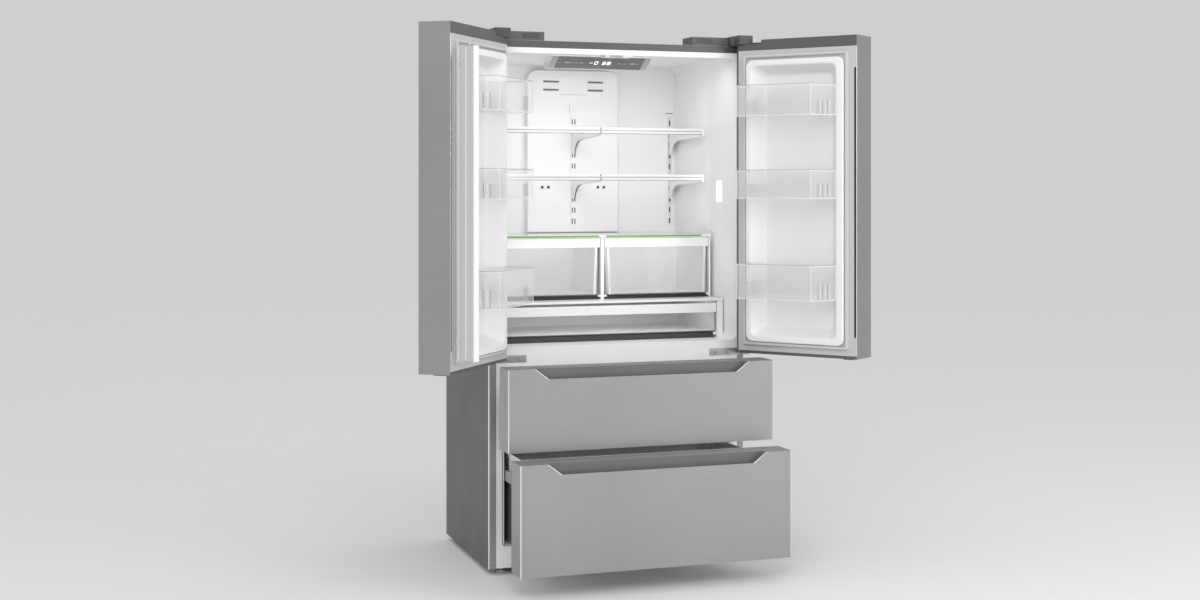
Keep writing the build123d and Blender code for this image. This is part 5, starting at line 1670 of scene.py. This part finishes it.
@dataclass(frozen=True)
class Lamp:
    """A soft lamp: where it is, what it points at, its size and its power.

    Places and sizes are in metres in the row frame, or, for a lamp inside the
    refrigerator, in millimetres as the shut refrigerator holds them.
    """

    name: str
    place: tuple[float, float, float]
    target: tuple[float, float, float]
    size: Pair
    power: float
    inside: bool = True

    def build(self) -> None:
        """Build the lamp; one inside is neither seen nor mirrored."""
        data = bpy.data.lights.new(self.name, "AREA")
        data.shape = "RECTANGLE" if self.inside else "SQUARE"
        unit = MM if self.inside else 1.0
        data.size, data.size_y, data.energy = self.size[0] * unit, self.size[1] * unit, self.power
        lamp = bpy.data.objects.new(self.name, data)
        bpy.context.scene.collection.objects.link(lamp)
        row = still("cabinet").matrix if self.inside else Matrix.Identity(4)
        start, aim = row @ Vector(self.place), row @ Vector(self.target)
        lamp.location = start
        lamp.rotation_mode = "QUATERNION"
        lamp.rotation_quaternion = (aim - start).to_track_quat("-Z", "Y")
        if self.inside:
            lamp.visible_camera = lamp.visible_glossy = lamp.visible_transmission = False


LAMPS = (
    Lamp("key", (-1.6, -4.6, 3.6), (0, 0, 1.0), (2.6, 2.6), 85.0, False),
    Lamp("fill", (2.8, -4.2, 2.2), (0, 0, 1.0), (2.2, 2.2), 57.0, False),
    Lamp("roof_light", (0, 40, 1700), (0, 330, 1150), (700.0, 30.0), 0.62),
    Lamp("left_light", (-414, 150, 1260), (300, 330, 1150), (30.0, 260.0), 0.14),
    Lamp("right_light", (414, 150, 1260), (-300, 330, 1150), (30.0, 260.0), 0.14),
    Lamp("low_light", (0, 30, 1060), (0, 420, 860), (700.0, 30.0), 0.22),
    Lamp("wash_light", (0, 216, 1400), (0, 400, 1400), (790.0, 560.0), 0.41),
    Lamp("deli_light", (0, 130, 862), (0, 330, 775), (700.0, 20.0), 0.26),
)


@dataclass
class Studio:
    """Pale floor, soft light and the photograph's camera."""

    floor_half: float = 30.0
    floor_tone: float = 0.88
    backdrop: float = 0.622
    ambient: float = 0.7
    lens: float = 50.871
    eye: tuple[float, float, float] = (-1823.04, -5423.12, 1277.18)
    yaw: float = 20.01
    shift: Pair = (-0.05164, -0.09447)

    def build(self) -> None:
        """Build the floor, the world, the lamps and the camera."""
        self.floor()
        self.world()
        for lamp in LAMPS:
            lamp.build()
        self.camera()
        bpy.context.scene.view_settings.view_transform = "Standard"

    def floor(self) -> None:
        """A wide pale floor that carries the object's shadow."""
        mesh = bpy.data.meshes.new("studio_floor")
        corners = [Vector((x, y, 0)) * self.floor_half for x, y in ((-1, -1), (1, -1), (1, 1), (-1, 1))]
        mesh.from_pydata(corners, [], [(0, 1, 2, 3)])
        floor = bpy.data.objects.new("studio_floor", mesh)
        bpy.context.scene.collection.objects.link(floor)
        pale = Finish("pale_floor", grey(self.floor_tone), 0.85, 0.0, Grain.CLOUDED, 0.01, 0.02)
        mesh.materials.append(pale.material())

    def world(self) -> None:
        """An even pale world, a little darker where it is seen than where it lights."""
        world = bpy.data.worlds.new("studio")
        bpy.context.scene.world = world
        world.use_nodes = True
        tree = world.node_tree
        tree.nodes.clear()
        path = wire(tree, "ShaderNodeLightPath")
        seen = maths("MAXIMUM", tree, path.outputs["Is Camera Ray"], path.outputs["Is Transmission Ray"])
        light, view = (
            wire(tree, "ShaderNodeBackground", {"Color": (1, 1, 1, 1), "Strength": strength}).outputs[0]
            for strength in (self.ambient, self.backdrop)
        )
        mix = wire(tree, "ShaderNodeMixShader", {0: seen, 1: light, 2: view})
        wire(tree, "ShaderNodeOutputWorld", {"Surface": mix.outputs[0]})

    def camera(self) -> None:
        """The camera at the photograph's viewpoint."""
        data = bpy.data.cameras.new("photo_view")
        data.lens, data.sensor_width = self.lens, 36.0
        data.shift_x, data.shift_y = self.shift
        data.clip_end = 100.0
        view = bpy.data.objects.new("photo_view", data)
        bpy.context.scene.collection.objects.link(view)
        x, y, z = self.eye
        view.location = (x * MM, (y - CENTRE_Y) * MM, z * MM)
        view.rotation_euler = (math.radians(90), 0, math.radians(-self.yaw))
        bpy.context.scene.camera = view


def main() -> None:
    logging.basicConfig(level=logging.INFO, format="%(name)s: %(message)s")
    Works().build()
    parts = [Case(), Hinges(), FoodSpace(), Controls(), Crispers(), Deli()]
    parts += [Door(side) for side in Side]
    parts += [Flap(), FreezerDrawer(Tier.UPPER, 437.0, 700.0), FreezerDrawer(Tier.LOWER, 75.0, 421.0)]
    parts += [FreezerSpace(), Studio()]
    for part in parts:
        part.build()
        log.info("%s done", type(part).__name__)


if __name__ == "__main__":
    main()
